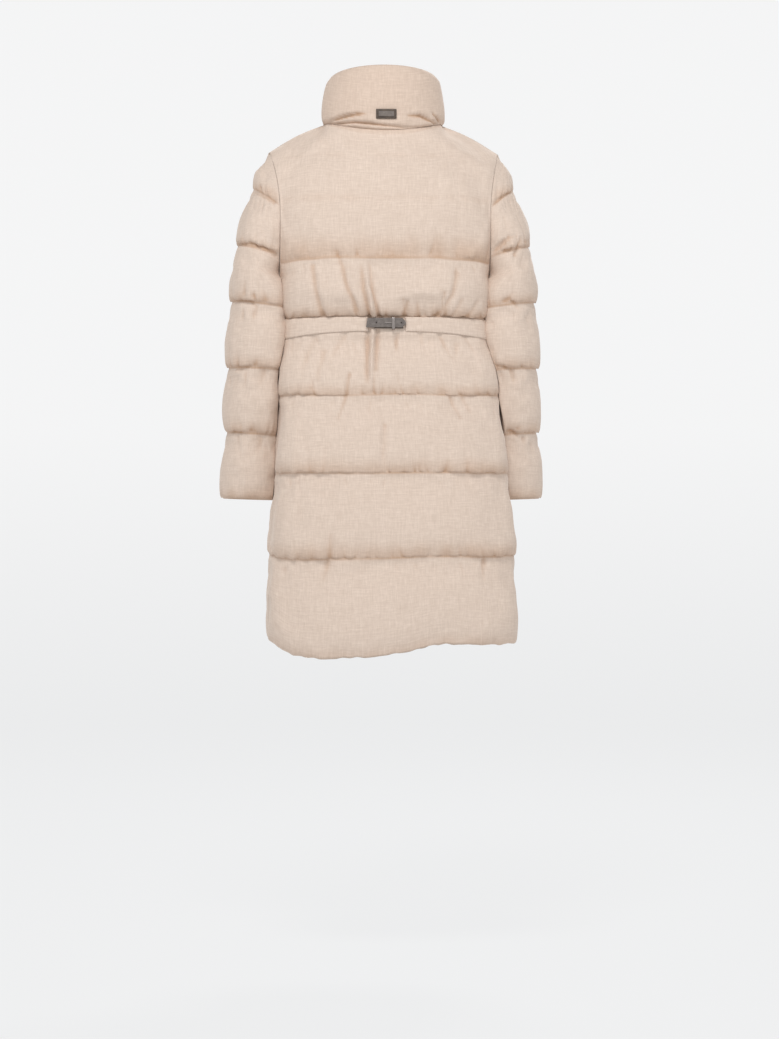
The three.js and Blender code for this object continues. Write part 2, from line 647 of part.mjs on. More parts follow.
// The outermost of the collar's own points within the plate's height.
function collarBackY(z) {
  const middle = (collar.outer[0].length - 1) / 2;
  const reach = PLATE.high;
  return Math.max(...collar.outer
    .flatMap((row) => row.slice(Math.floor(middle) - 2, Math.ceil(middle) + 3))
    .filter((point) => Math.abs(point.z - z) < reach)
    .map((point) => point.y));
}

// ---------------------------------------------------------------- the coat

const cloth = () => material(COLOURS.cloth, 0.9);
const coat = new THREE.Group();

function addPiece(name, geometry, look) {
  const mesh = new THREE.Mesh(geometry, look);
  mesh.name = name;
  coat.add(mesh);
  return mesh;
}

addPiece('back', panelSolid(back, backShift), cloth());
addPiece('front_left', panelSolid(frontLeft, frontShift(1)), cloth());
addPiece('front_right', panelSolid(frontRight, frontShift(-1)), cloth());
addPiece('sleeve_left', sleeve(1), cloth());
addPiece('sleeve_right', sleeve(-1), cloth());
addPiece('collar', shellSolid(collar.outer, collar.inner), cloth());
addPiece('placket', shellSolid(placket.outer, placket.inner), cloth());

SNAP.rows.forEach((row, i) => {
  const { centre, normal } = placketSeat(row);
  const snap = addPiece(`snap_${i + 1}`, snapGeometry(), material(COLOURS.snap, 0.45, 0.6));
  snap.position.copy(centre).addScaledVector(normal, HARD_GAP);
  snap.quaternion.setFromUnitVectors(vec(0, 1, 0), normal);
});

for (const [name, direction] of [['belt_left', 1], ['belt_right', -1]]) {
  const { outer, inner } = beltGrids(direction);
  addPiece(name, shellSolid(outer, inner), cloth());
}
addPiece('strap', strapGeometry(), material(COLOURS.leather, 0.55));
addPiece('strap_base', strapBaseGeometry(), material(COLOURS.leather, 0.6));
addPiece('buckle', buckleGeometry(), material(COLOURS.metal, 0.35, 0.9));
addPiece('prong', prongGeometry(), material(COLOURS.metal, 0.3, 0.9));
addPiece('collar_plate', plateGeometry(PLATE, SEAM_GAP), material(COLOURS.plate, 0.55));
addPiece('collar_plate_inset', plateGeometry(INSET, SEAM_GAP + PLATE.thick + HARD_GAP),
  material(COLOURS.plate, 0.45));

export default coat;
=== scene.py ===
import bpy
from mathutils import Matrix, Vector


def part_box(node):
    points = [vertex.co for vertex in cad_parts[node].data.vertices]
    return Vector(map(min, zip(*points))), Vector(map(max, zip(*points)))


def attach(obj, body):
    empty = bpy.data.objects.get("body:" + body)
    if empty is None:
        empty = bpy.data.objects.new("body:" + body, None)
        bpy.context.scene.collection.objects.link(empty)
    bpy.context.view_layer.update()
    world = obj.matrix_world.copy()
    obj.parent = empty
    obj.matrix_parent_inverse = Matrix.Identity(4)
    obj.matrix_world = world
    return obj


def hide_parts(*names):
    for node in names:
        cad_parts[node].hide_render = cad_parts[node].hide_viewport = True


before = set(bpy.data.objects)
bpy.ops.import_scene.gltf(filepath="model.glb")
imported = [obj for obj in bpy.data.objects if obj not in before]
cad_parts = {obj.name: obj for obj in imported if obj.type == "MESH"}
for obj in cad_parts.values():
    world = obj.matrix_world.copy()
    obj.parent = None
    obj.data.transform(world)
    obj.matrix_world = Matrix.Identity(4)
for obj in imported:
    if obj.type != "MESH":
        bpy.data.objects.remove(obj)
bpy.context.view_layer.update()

import math

import bpy
import numpy as np
from mathutils import Vector

MM = 0.001

# ------------------------------------------------------------------ the coat's base form

WALL = 3.0
INNER_SWELL = 2.5
NECK = {"half_width": 106, "centre_y": -8, "back_depth": 90, "front_depth": 92, "side_z": 20,
        "front_z": -48}
SHOULDER_TIP = {"x": 206, "z": -32, "crown": 5}
NECK_SHARE = 0.52
ARMHOLE = {"half_depth": 72, "level_z": -150, "top_rise": 118, "bottom_drop": 112, "x": 187,
           "top_out": 19}
UNDERARM_Z = ARMHOLE["level_z"] - ARMHOLE["bottom_drop"]
YOKE_PUFF = 8.0
YOKE_ARC = {"centre": 55, "edge": 90}
POWER = {"back": 2.6, "front": 2.2}
OUTWARD = {"x": 210, "y": 130, "z": 230, "level_z": -200}
BODY = [
    {"z": -150, "half": 200, "back": 118, "front": 138},
    {"z": -230, "half": 189, "back": 118, "front": 146},
    {"z": -262, "half": 188, "back": 116, "front": 146},
    {"z": -347, "half": 185, "back": 98, "front": 136},
    {"z": -470, "half": 197, "back": 112, "front": 142},
    {"z": -608, "half": 208, "back": 130, "front": 150},
    {"z": -758, "half": 219, "back": 138, "front": 156},
    {"z": -922, "half": 221, "back": 138, "front": 156},
]
SIDE_SEAM = {"low_y": 14, "top_z": -262, "low_z": -608}
SWAY = {"x": -14, "top_z": -262, "low_z": -620}
HEM_START_Z = -680
HEM_DROPS = [
    {"x": -221, "drop": -10}, {"x": -110, "drop": -14}, {"x": -60, "drop": -11},
    {"x": -10, "drop": 1}, {"x": 60, "drop": 8}, {"x": 140, "drop": 10}, {"x": 190, "drop": 2},
    {"x": 221, "drop": -18},
]
# Quilted channels of the body below the shoulders. The flat band under the belt has no padding.
CHANNELS = [
    {"top": -230, "bottom": -331, "puff": 12},
    {"top": -331, "bottom": -363, "puff": 0},
    {"top": -363, "bottom": -470, "puff": 12},
    {"top": -470, "bottom": -608, "puff": 14},
    {"top": -608, "bottom": -758, "puff": 15},
    {"top": -758, "bottom": -922, "puff": 16},
]
YOKE_ROWS = 13
YOKE_SHARE = 0.64          # the part of the first channel that lies above armhole level
PUFF_GAIN = 1.4            # the down stands fuller than the plain solids, within their box
SAG = 1.75                 # above 1, a channel is fuller below its middle
FULLNESS = 2.5             # the higher, the steeper a channel rises from its seams
HEM_SHARE = 0.9            # the hem's channel ends short of a full lip
SEAM_DIP = {"drop": 9, "z": -232, "high": 42}   # the first seam hangs lower towards the armholes
SEAM_WAVE = 1.6            # how far seams wander up and down
LIP = 5.0                  # how far a channel's full lower edge hangs over the seam below it

SLEEVE_TOP_ANGLE = 20
SLEEVE_RINGS = [
    {"angle": 0, "out_x": 206, "out_z": -32, "y": 0, "half": 72, "in_x": 206, "in_z": -32},
    {"angle": 82, "out_x": 233, "out_z": -98, "y": 0, "half": 72, "in_x": 187, "in_z": -134},
    {"angle": 129, "out_x": 261, "out_z": -200, "y": 0, "half": 72, "in_x": 187, "in_z": -220},
    {"angle": 180, "out_x": 266, "out_z": -247, "y": 0, "half": 72, "in_x": 188, "in_z": -262},
    {"angle": 180, "out_x": 271, "out_z": -300, "y": -4, "half": 70, "in_x": 180, "in_z": -313},
    {"angle": 180, "out_x": 277, "out_z": -418, "y": -18, "half": 66, "in_x": 181, "in_z": -423},
    {"angle": 180, "out_x": 280, "out_z": -533, "y": -40, "half": 60, "in_x": 188, "in_z": -540},
    {"angle": 180, "out_x": 287, "out_z": -652, "y": -62, "half": 55, "in_x": 192, "in_z": -655},
]
UNDERARM_RING = 3
# Channels of a sleeve, from ring to ring of the table.
SLEEVE_CHANNELS = [
    {"top": 0.25, "bottom": 1, "puff": 7.5, "rows": 9, "from_share": 0.25},
    {"top": 1, "bottom": 2, "puff": 9, "rows": 11, "from_share": 0},
    {"top": 2, "bottom": 4, "puff": 9, "rows": 11, "from_share": 0},
    {"top": 4, "bottom": 5, "puff": 9, "rows": 12, "from_share": 0},
    {"top": 5, "bottom": 6, "puff": 9, "rows": 12, "from_share": 0},
    {"top": 6, "bottom": 7, "puff": 8, "rows": 12, "from_share": 0},
]
SLEEVE_CLEARANCE = 0.7
SLEEVE_PRESS = 7           # how far its inner side can be pressed over to the body
SLEEVE_SQUARE = 0.7        # how squarely a hanging sleeve lies against the body behind
ARMHOLE_GAP = 0.35
SEAM_GAP = 0.4

COLLAR = {"back_top_z": 116, "front_top_z": 66, "top_half_width": 97, "top_centre_y": -14,
          "top_half_depth": 92}
COLLAR_PUFFS = [
    {"share": 0, "puff": 0.5}, {"share": 0.05, "puff": 4.5}, {"share": 0.11, "puff": 5},
    {"share": 0.22, "puff": 6}, {"share": 0.5, "puff": 7}, {"share": 0.8, "puff": 6.5},
    {"share": 0.94, "puff": 4.5}, {"share": 1, "puff": 1},
]
PLACKET = {"half": 26, "thick": 5, "lift": 0.5, "stitch_in": 7}
BELT = {"top_z": -332.5, "high": 25.5, "end_drop": 9.5, "thick": 2.6, "lift": 0.8, "left_from": 35,
        "right_from": -31, "side_x": 180}


def raised(base, power):
    return np.abs(base) ** power


def smoothstep(at, low, high):
    share = np.clip((np.asarray(at, float) - low) / (high - low), 0, 1)
    return share * share * (3 - 2 * share)


def mix(start, end, share):
    return start + (end - start) * share


def bell(distance, width):
    return np.exp(-(distance / width) ** 2)


def points(x, y, z):
    return np.stack(np.broadcast_arrays(x, y, z), axis=-1).astype(float)


def unit(vectors):
    return vectors / np.maximum(np.linalg.norm(vectors, axis=-1, keepdims=True), 1e-9)


def table_value(table, key, at, column):
    """A named column of a table, read between its rows on a smooth curve."""
    keys = np.array([row[key] for row in table], float)
    values = np.array([row[column] for row in table], float)
    if keys[-1] < keys[0]:
        keys, values = keys[::-1], values[::-1]
    last = len(keys) - 1
    before = np.maximum(np.arange(last + 1) - 1, 0)
    after = np.minimum(np.arange(last + 1) + 1, last)
    slopes = (values[after] - values[before]) / (keys[after] - keys[before])
    i = np.clip(np.searchsorted(keys, at) - 1, 0, last - 1)
    span = keys[i + 1] - keys[i]
    t = np.clip((at - keys[i]) / span, 0, 1)
    return ((2 * t**3 - 3 * t**2 + 1) * values[i] + (t**3 - 2 * t**2 + t) * slopes[i] * span
            + (3 * t**2 - 2 * t**3) * values[i + 1] + (t**3 - t**2) * slopes[i + 1] * span)


def padding(share):
    """Height of the padding between two seams, 0 to 1, fuller below the middle."""
    return 1 - raised(2 * np.clip(share, 0, 1) ** SAG - 1, FULLNESS)


def sway(z):
    return SWAY["x"] * smoothstep(-np.asarray(z), -SWAY["top_z"], -SWAY["low_z"])


def side_seam_y(z):
    return SIDE_SEAM["low_y"] * smoothstep(-np.asarray(z), -SIDE_SEAM["top_z"], -SIDE_SEAM["low_z"])


def armhole(degrees):
    """Points of the left armhole. 0 degrees is the shoulder tip and 180 the underarm."""
    turn = np.radians(degrees)
    up = np.cos(turn)
    reach = np.where(up > 0, ARMHOLE["top_rise"], ARMHOLE["bottom_drop"])
    out = np.where(up > 0, ARMHOLE["top_out"], 1)
    return points(ARMHOLE["x"] + out * up * up, ARMHOLE["half_depth"] * np.sin(turn),
                  ARMHOLE["level_z"] + reach * up)


def section(side, z):
    """Half sections of the body: their squareness, depth, side seam, half width and end angle."""
    z = np.asarray(z, float)
    power = POWER[side]
    seam_y = side_seam_y(z)
    depth = table_value(BODY, "z", z, side) + (-seam_y if side == "back" else seam_y)
    turn = np.arccos(np.clip((z - ARMHOLE["level_z"]) / ARMHOLE["bottom_drop"], -1, 0))
    edge = armhole(np.degrees(turn))
    narrow = (1 - np.clip(edge[..., 1] / depth, 0, 1) ** power) ** (1 / power)
    above = z > UNDERARM_Z
    half = np.where(above, edge[..., 0] / narrow, table_value(BODY, "z", z, "half"))
    end = np.where(above, np.arcsin(np.clip(narrow, 0, 1) ** (power / 2)), math.pi / 2)
    return {"power": power, "depth": depth, "seam_y": seam_y, "half": half, "end": end}


def section_points(side, cut, angle, z):
    facing = 1 if side == "back" else -1
    x = np.sign(angle) * cut["half"] * raised(np.sin(angle), 2 / cut["power"])
    y = cut["seam_y"] + facing * cut["depth"] * raised(np.cos(angle), 2 / cut["power"])
    return points(x, y, z)


def neckline(side, angle):
    facing = 1 if side == "back" else -1
    depth = NECK["back_depth"] if side == "back" else NECK["front_depth"]
    middle_z = 0 if side == "back" else NECK["front_z"]
    cosine = np.cos(angle)
    return points(NECK["half_width"] * np.sin(angle), NECK["centre_y"] + facing * depth * cosine,
                  mix(NECK["side_z"], middle_z, cosine * cosine))


def top_points(side, shares, x=None):
    """Where columns start, on the neckline or the shoulder seam."""
    out = np.clip((np.abs(shares) - NECK_SHARE) / (1 - NECK_SHARE), 0, 1)
    crown = SHOULDER_TIP["crown"] * np.sin(math.pi * out)
    seam = points(np.sign(shares) * mix(NECK["half_width"], SHOULDER_TIP["x"], out),
                  mix(NECK["centre_y"], 0, out), mix(NECK["side_z"], SHOULDER_TIP["z"], out) + crown)
    angle = math.pi / 2 * shares / NECK_SHARE if x is None else np.arcsin(x / NECK["half_width"])
    round_neck = neckline(side, np.clip(angle, -math.pi / 2, math.pi / 2))
    return np.where((np.abs(shares) > NECK_SHARE)[..., None], seam, round_neck)


def column_angle(cut, shares, x=None):
    if x is None:
        return shares * cut["end"]
    return np.sign(x) * np.arcsin(np.clip(raised(x / cut["half"], cut["power"] / 2), 0, 1))


def form_row(side, shares, row, x=None):
    """One row of the body's base form. A row lies at a height, or on a step over the shoulder."""
    if row["step"] is None:
        cut = section(side, row["z"])
        return section_points(side, cut, column_angle(cut, shares, x), row["z"])
    top = top_points(side, shares, x)
    cut = section(side, ARMHOLE["level_z"])
    low = section_points(side, cut, column_angle(cut, shares, x), ARMHOLE["level_z"])
    arc = np.radians(mix(YOKE_ARC["centre"], YOKE_ARC["edge"], shares**2))
    turn = arc * (1 - row["step"])
    up = np.sin(turn) / np.sin(arc)
    back = (np.cos(turn) - np.cos(arc)) / (1 - np.cos(arc))
    across_share = math.sin(math.pi / 2 * (1 - row["step"])) ** 2
    return points(mix(low[:, 0], top[:, 0], across_share), mix(top[:, 1], low[:, 1], back),
                  mix(low[:, 2], top[:, 2], up))


def outward(at):
    rise = np.maximum(0, at[..., 2] - OUTWARD["level_z"])
    return unit(points(at[..., 0] / OUTWARD["x"] ** 2, at[..., 1] / OUTWARD["y"] ** 2,
                       rise / OUTWARD["z"] ** 2))


def hung(at):
    """Adds the body's sway and the hem's uneven fall."""
    low = smoothstep(-at[..., 2], -HEM_START_Z, -BODY[-1]["z"])
    drop = low * table_value(HEM_DROPS, "x", at[..., 0], "drop")
    return points(at[..., 0] + sway(at[..., 2]), at[..., 1], at[..., 2] - drop)


def panel_rows(spacing):
    """Rows from the shoulder to the hem, and the rows' numbers at which the cloth is creased."""
    rows = [{"step": step, "z": None, "share": YOKE_SHARE * step, "puff": YOKE_PUFF}
            for step in np.linspace(0, 1, YOKE_ROWS)]
    count = round((ARMHOLE["level_z"] - CHANNELS[0]["top"]) / spacing)
    for share in np.arange(1, count + 1) / count:
        rows.append({"step": None, "z": mix(ARMHOLE["level_z"], CHANNELS[0]["top"], share),
                     "share": mix(YOKE_SHARE, 1, share), "puff": YOKE_PUFF})
    cuts = [0, len(rows) - 1]
    for channel in CHANNELS:
        count = max(3, round((channel["top"] - channel["bottom"]) / spacing))
        for share in np.arange(1, count + 1) / count:
            rows.append({"step": None, "z": mix(channel["top"], channel["bottom"], share),
                         "share": share, "puff": channel["puff"]})
        cuts.append(len(rows) - 1)
    return rows, cuts


def even_shares(side, count):
    """Columns from the middle to the side that lie evenly at hip height, one on the neck's side."""
    cut = section(side, -608)
    fine = np.linspace(0, 1, 2000) ** 1.5
    line = section_points(side, cut, fine * cut["end"], -608)
    length = np.concatenate([[0], np.cumsum(np.linalg.norm(np.diff(line, axis=0), axis=1))])
    shares = np.interp(np.linspace(0, length[-1], count + 1), length, fine)
    shares[np.argmin(np.abs(shares - NECK_SHARE))] = NECK_SHARE
    return shares


# ------------------------------------------------------------------ padded skins

GRID = 10.0                # spacing of the simulated skins
SPLIT = 3                  # how many parts each of their rows is split into afterwards
SPLIT_ACROSS = 4           # and each column of the body
CLOTH_FRAMES = 16
COLLAR_PAINTED_SHADE = 0.2         # painted shade: the collar's cloth is a tone darker all over, for the shade it lies in
EVENED = 0.65              # how much a blown skin's small buckles are smoothed away
FOLD_GAIN = 1.45           # on the heights of the listed folds


def refine(values, cuts, across=SPLIT):
    """Splits a grid's cells on smooth curves that are creased at the cut rows."""
    pieces = []
    for first, last in zip(cuts[:-1], cuts[1:]):
        piece = curve_through(values[first:last + 1], SPLIT)
        pieces.append(piece if first == cuts[0] else piece[1:])
    tall = np.concatenate(pieces)
    return np.swapaxes(curve_through(np.swapaxes(tall, 0, 1), across), 0, 1)


def fine_shares(shares, cuts, columns):
    """How far down its channel each refined row lies, counted from 0 just below a seam."""
    pieces = []
    for first, last in zip(cuts[:-1], cuts[1:]):
        row = np.array(shares[first:last + 1], float)
        row[0] = 0 if first else row[0]
        fine = np.interp(np.arange((last - first) * SPLIT + 1) / SPLIT, np.arange(len(row)), row)
        pieces.append(fine if first == 0 else fine[1:])
    return np.repeat(np.concatenate(pieces)[:, None], columns, axis=1)


def tucked(grid, node, ease=7.0):
    """Keeps cloth behind a hard piece that lies on it, easing out around the piece."""
    low, high = (np.array(corner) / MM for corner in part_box(node))
    beside = np.maximum(np.maximum(low[0] - grid[..., 0], grid[..., 0] - high[0]), 0)
    above = np.maximum(np.maximum(low[2] - grid[..., 2], grid[..., 2] - high[2]), 0)
    near = 1 - smoothstep(np.hypot(beside, above), 1.5, ease)
    limit = low[1] - SEAM_GAP
    y = grid[..., 1]
    grid[..., 1] = np.where(y > limit, mix(y, limit, near), y)


def curve_through(values, times):
    """Points on a smooth curve through an array's rows, with each gap split evenly."""
    ends = np.concatenate([2 * values[:1] - values[1:2], values, 2 * values[-1:] - values[-2:-1]])
    at = np.arange((len(values) - 1) * times + 1) / times
    i = np.minimum(at.astype(int), len(values) - 2)
    t = (at - i).reshape((-1,) + (1,) * (values.ndim - 1))
    a, b, c, d = ends[i], ends[i + 1], ends[i + 2], ends[i + 3]
    return b + 0.5 * t * (c - a + t * (2 * a - 5 * b + 4 * c - d + t * (3 * (b - c) + d - a)))


def inflate(name, skin, held, cap, growth):
    """Blows a quilted skin up with Blender's cloth, held along its seams. Points move up to cap."""
    rows, columns = held.shape
    number = np.arange(rows * columns).reshape(rows, columns)
    quads = np.stack([number[:-1, :-1], number[1:, :-1], number[1:, 1:], number[:-1, 1:]], -1)
    mesh = bpy.data.meshes.new(name)
    mesh.from_pydata((skin.reshape(-1, 3) * MM).tolist(), [], quads.reshape(-1, 4).tolist())
    piece = bpy.data.objects.new(name, mesh)
    bpy.context.scene.collection.objects.link(piece)
    group = piece.vertex_groups.new(name="held")
    for weight in np.unique(held[held > 0]):
        group.add(np.flatnonzero(held.ravel() == weight).tolist(), float(weight), "REPLACE")
    cloth = piece.modifiers.new("cloth", "CLOTH")
    settings = cloth.settings
    settings.vertex_group_mass = group.name
    settings.quality = 5
    settings.mass = 0.05
    settings.tension_stiffness = 12
    settings.compression_stiffness = 8
    settings.shear_stiffness = 4
    settings.bending_stiffness = 1.2
    settings.shrink_min = -growth
    settings.use_pressure = True
    settings.uniform_pressure_force = 4
    settings.effector_weights.gravity = 0
    cloth.collision_settings.use_collision = False
    cloth.point_cache.frame_end = CLOTH_FRAMES
    scene = bpy.context.scene
    for number in range(1, CLOTH_FRAMES + 1):
        scene.frame_set(number)
    shaped = piece.evaluated_get(bpy.context.evaluated_depsgraph_get()).to_mesh()
    found = np.empty(rows * columns * 3)
    shaped.vertices.foreach_get("co", found)
    scene.frame_set(1)
    bpy.data.objects.remove(piece)
    move = found.reshape(rows, columns, 3) / MM - skin
    length = np.linalg.norm(move, axis=-1, keepdims=True)
    move = move * np.minimum(1, cap / np.maximum(length, 1e-6))
    even = np.stack([blurred(move[..., side], 1) for side in range(3)], -1)
    return skin + mix(move, even, EVENED) * (1 - held[..., None])


def grid_normals(grid, toward):
    down = np.gradient(grid, axis=0)
    along = np.gradient(grid, axis=1)
    normals = unit(np.cross(down, along))
    return normals * np.where((normals * toward).sum(-1, keepdims=True) < 0, -1, 1)


def arc_lengths(grid, axis):
    steps = np.linalg.norm(np.diff(grid, axis=axis), axis=-1)
    total = np.cumsum(steps, axis=axis)
    start = np.zeros_like(total[:1] if axis == 0 else total[:, :1])
    return np.concatenate([start, total], axis=axis)


def smooth_noise(u, v, size, seed):
    """Soft lumps between -1 and 1, about as wide as size."""
    random = np.random.default_rng(seed)
    lattice = random.uniform(-1, 1, (96, 96))
    x = (u - u.min()) / size
    y = (v - v.min()) / size
    i, j = x.astype(int) % 95, y.astype(int) % 95
    s, t = x - np.floor(x), y - np.floor(y)
    s, t = s * s * (3 - 2 * s), t * t * (3 - 2 * t)
    return mix(mix(lattice[i, j], lattice[i + 1, j], s), mix(lattice[i, j + 1], lattice[i + 1, j + 1], s), t)


def puckers(u, v, seams, seed, strength=1.0):
    """Short creases that leave quilting seams. u runs along the seams and v down the cloth."""
    random = np.random.default_rng(seed)
    height = np.zeros_like(u)
    low, high = u.min(), u.max()
    for seam in seams:
        for side in (-1, 1):
            place = low + random.uniform(0, 14)
            while place < high:
                width = random.uniform(2.6, 6.5)
                length = random.uniform(9, 36)
                depth = random.uniform(0.8, 3.2) * strength
                lean = random.uniform(-0.45, 0.45)
                away = side * (v - seam)
                near = (away > -1) & (away < 3 * length)
                crease = bell(u[near] - place - lean * away[near], width * (0.6 + away[near] / 40))
                fade = np.exp(-np.maximum(away[near], 0) / length) * smoothstep(away[near], -1, 4)
                height[near] -= depth * crease * fade
                place += random.uniform(7, 30)
    return height


def fold_heights(across, up, folds):
    """Listed folds: soft ridges where a height is above 0, troughs where it is below."""
    ridges, troughs = np.zeros_like(across), np.zeros_like(across)
    for x0, z0, x1, z1, width, h0, h1 in folds:
        run = np.array([x1 - x0, z1 - z0], float)
        share = np.clip(((across - x0) * run[0] + (up - z0) * run[1]) / (run @ run), 0, 1)
        distance = np.hypot(across - x0 - share * run[0], up - z0 - share * run[1])
        fold = FOLD_GAIN * mix(h0, h1, share) * bell(distance, width)
        ridges, troughs = np.maximum(ridges, fold), np.minimum(troughs, fold)
    return ridges + troughs


def blurred(grid, reach):
    """A grid averaged over a few cells each way."""
    for axis in (0, 1, 0, 1):
        edges = [(reach + 1, reach) if axis == side else (0, 0) for side in (0, 1)]
        total = np.cumsum(np.pad(grid, edges, mode="edge"), axis=axis)
        high = np.take(total, range(2 * reach + 1, total.shape[axis]), axis=axis)
        low = np.take(total, range(total.shape[axis] - 2 * reach - 1), axis=axis)
        grid = (high - low) / (2 * reach + 1)
    return grid


def painted_crease_shade(height, share, u, seed):
    """How much painted shade cloth gets in folds and at seams, 0 to 1, more where it lies deeper. Channels get
    painted shade just above their lower seam and in a thin line just below each seam.
    """
    folds = np.clip((blurred(height, 2) - height) / 3.0 - 0.1, 0, 0.6)
    uneven = 1 + 0.5 * smooth_noise(u, share * 60, 22, seed)
    # painted shade: a band above each lower seam, and a thin line just below each seam
    above = 0.46 * uneven * smoothstep(share, 0.76, 0.96) + 0.3 * smoothstep(share, 0.965, 1)
    below = 0.5 * (1 - smoothstep(share, 0, 0.025))
    return np.clip(0.85 * folds + np.maximum(above, below), 0, 1)


# ------------------------------------------------------------------ meshes

def add_mesh(name, verts, faces, attributes=None, smooth=True):
    mesh = bpy.data.meshes.new(name)
    mesh.from_pydata([], [], [])
    mesh.clear_geometry()
    mesh.from_pydata(np.asarray(verts, float).tolist(), [], [list(map(int, face)) for face in faces])
    mesh.validate()
    if smooth:
        mesh.polygons.foreach_set("use_smooth", [True] * len(mesh.polygons))
    for label, values in (attributes or {}).items():
        layer = mesh.attributes.new(label, "FLOAT_VECTOR", "POINT")
        layer.data.foreach_set("vector", np.asarray(values, np.float32).ravel())
    piece = bpy.data.objects.new(name, mesh)
    bpy.context.scene.collection.objects.link(piece)
    return piece


def shell(name, outer, inner, cloth_uv, depth=None):
    """One closed piece from its outer and inner grids, with a rim along every open edge.

    Its "cloth" attribute holds the place along the weave and how much painted shade a point gets in creases and
    at seams."""
    rows, columns = outer.shape[:2]
    flat = outer.reshape(-1, 3)
    _, first, index = np.unique(np.round(flat * 100).astype(np.int64), axis=0, return_index=True,
                                return_inverse=True)
    number = index.reshape(rows, columns)
    quads = np.stack([number[:-1, :-1], number[1:, :-1], number[1:, 1:], number[:-1, 1:]], -1)
    quads = quads.reshape(-1, 4)
    a = flat[first][quads]
    facing = np.cross(a[:, 2] - a[:, 0], a[:, 3] - a[:, 1])
    out = (flat[first] - inner.reshape(-1, 3)[first])[quads].mean(axis=1)
    if (facing * out).sum() < 0:
        quads = quads[:, ::-1]
    count = len(first)
    starts, ends = quads.ravel(), np.roll(quads, -1, axis=1).ravel()
    keep = starts != ends
    starts, ends = starts[keep], ends[keep]
    forward = set((starts * count + ends).tolist())
    rim = [(s, e) for s, e in zip(starts.tolist(), ends.tolist()) if e * count + s not in forward]
    faces = [face for face in quads.tolist()]
    faces += [[v + count for v in face[::-1]] for face in quads.tolist()]
    faces += [[e, s, s + count, e + count] for s, e in rim]
    clean = []
    for face in faces:
        once = [v for i, v in enumerate(face) if v != face[i - 1]]
        if len(once) > 2:
            clean.append(once)
    verts = np.concatenate([flat[first], inner.reshape(-1, 3)[first]]) * MM
    uv = cloth_uv.reshape(-1, 2)[first] * MM
    # painted shade amount of each point, 0 where none is given
    deep = np.zeros(count) if depth is None else depth.ravel()[first]
    cloth = np.column_stack([uv, deep])
    return add_mesh(name, verts, clean, {"cloth": np.concatenate([cloth, cloth])})


# ------------------------------------------------------------------ back and fronts

# The back's own folds, as seen from behind: from x, z to x, z, half width, height at each end.
BACK_FOLDS = [
    (38, -236, 34, -280, 4, 1, 4.5), (34, -280, 21, -334, 4, 4.5, 6),
    (45, -246, 40, -284, 4.5, -0.6, -2.6), (40, -284, 29, -334, 4, -2.6, -3.6),
    (30, -244, 26, -284, 4.5, -0.6, -2.6), (26, -284, 12, -334, 4, -2.6, -3.6),
    (24, -354, 26, -401, 3.4, 6.5, 5.5), (26, -401, 27, -456, 3.4, 5.5, 2), (33, -356, 35, -446, 3.6, -3.6, -1),
    (16, -356, 18, -446, 3.6, -3.6, -1), (17, -432, 16, -520, 5, 2.2, 1.2), (5, -524, 9, -604, 6, -2.4, -1),
    (12, -520, 16, -600, 6, 1.6, 0.6), (64, -434, 72, -468, 4, -2.4, -2.6),
    (72, -470, 84, -510, 4, -2.8, -1.2), (79, -249, 63, -288, 5, -2.2, -2.6),
    (130, -243, 111, -324, 6, -2.6, -2.8), (120, -250, 102, -320, 6, 1.4, 1.6),
    (90, -216, 77, -254, 6, -1.6, -2.8), (77, -254, 52, -318, 5, -2.8, -2.6),
    (69, -254, 46, -312, 5, 1.6, 1.6), (-122, -254, -110, -296, 5, -1.8, -3),
    (-110, -296, -93, -322, 4.5, -3, -2.6), (-97, -290, -92, -326, 4, -2.6, -2.4),
    (-35, -308, -27, -332, 4, -2.4, -3.4), (-92, -284, -104, -331, 6, -1.4, -2.4),
    (-86, -331, -100, -302, 4, -2.6, -1), (-110, -331, -127, -302, 4, -2.4, -1),
    (-136, -331, -156, -303, 4.5, -2.6, -1), (-28, -304, -33, -331, 4, -1.6, -3.2),
    (-52, -310, -58, -331, 4, -1, -2.4), (-19, -363, -16, -390, 4, -3.6, -1.4),
    (127, -369, 144, -420, 7, -2, -1), (109, -392, 124, -468, 7, -1.8, -1.8),
    (74, -365, 94, -398, 6, -2.4, -1.2), (-95, -364, -112, -400, 5, -2.8, -1),
    (-60, -364, -66, -392, 5, -2, -0.8), (-140, -364, -160, -404, 6, -2, -0.8),
    (-113, -474, -128, -508, 5, -2.4, -1), (-134, -473, -147, -500, 5, -2.2, -0.8),
    (102, -752, 96, -716, 6, -2.6, -0.8), (106, -762, 112, -792, 6, -3, -1),
    (-171, -764, -168, -800, 5, -3, -1), (-178, -46, 178, -46, 9, -0.8, -0.8),
    (-182, -124, 182, -124, 10, -0.9, -0.9), (-125, -60, -124, -222, 7, -0.7, -0.7),
]
FRONT_FOLDS = [
    (60, -240, 78, -300, 7, -2, -1), (120, -250, 100, -330, 8, -2, -1.5), (52, -372, 60, -430, 6, -2, -1),
    (110, -372, 124, -440, 7, -2, -1.2), (80, -480, 92, -540, 7, -2.2, -1), (150, -480, 142, -560, 7, -2, -1),
    (66, -616, 72, -680, 7, -2, -1), (130, -620, 138, -700, 7, -2, -1), (90, -766, 96, -820, 7, -2.4, -1),
    (60, -110, 64, -200, 9, -1.2, -1), (-60, -245, -74, -300, 7, -2, -1), (-118, -248, -104, -320, 8, -2, -1),
    (-56, -372, -60, -420, 6, -2, -1), (-120, -374, -132, -446, 7, -2, -1), (-84, -478, -94, -548, 7, -2, -1),
    (-150, -482, -144, -570, 7, -2, -1), (-64, -616, -70, -670, 7, -2, -1), (-126, -620, -138, -690, 7, -2, -1),
    (-94, -768, -98, -830, 7, -2.4, -1), (-62, -112, -66, -190, 9, -1.2, -1),
]
BODY_PUCKER_SEED = {"back": 11, "front_left": 12, "front_right": 13}


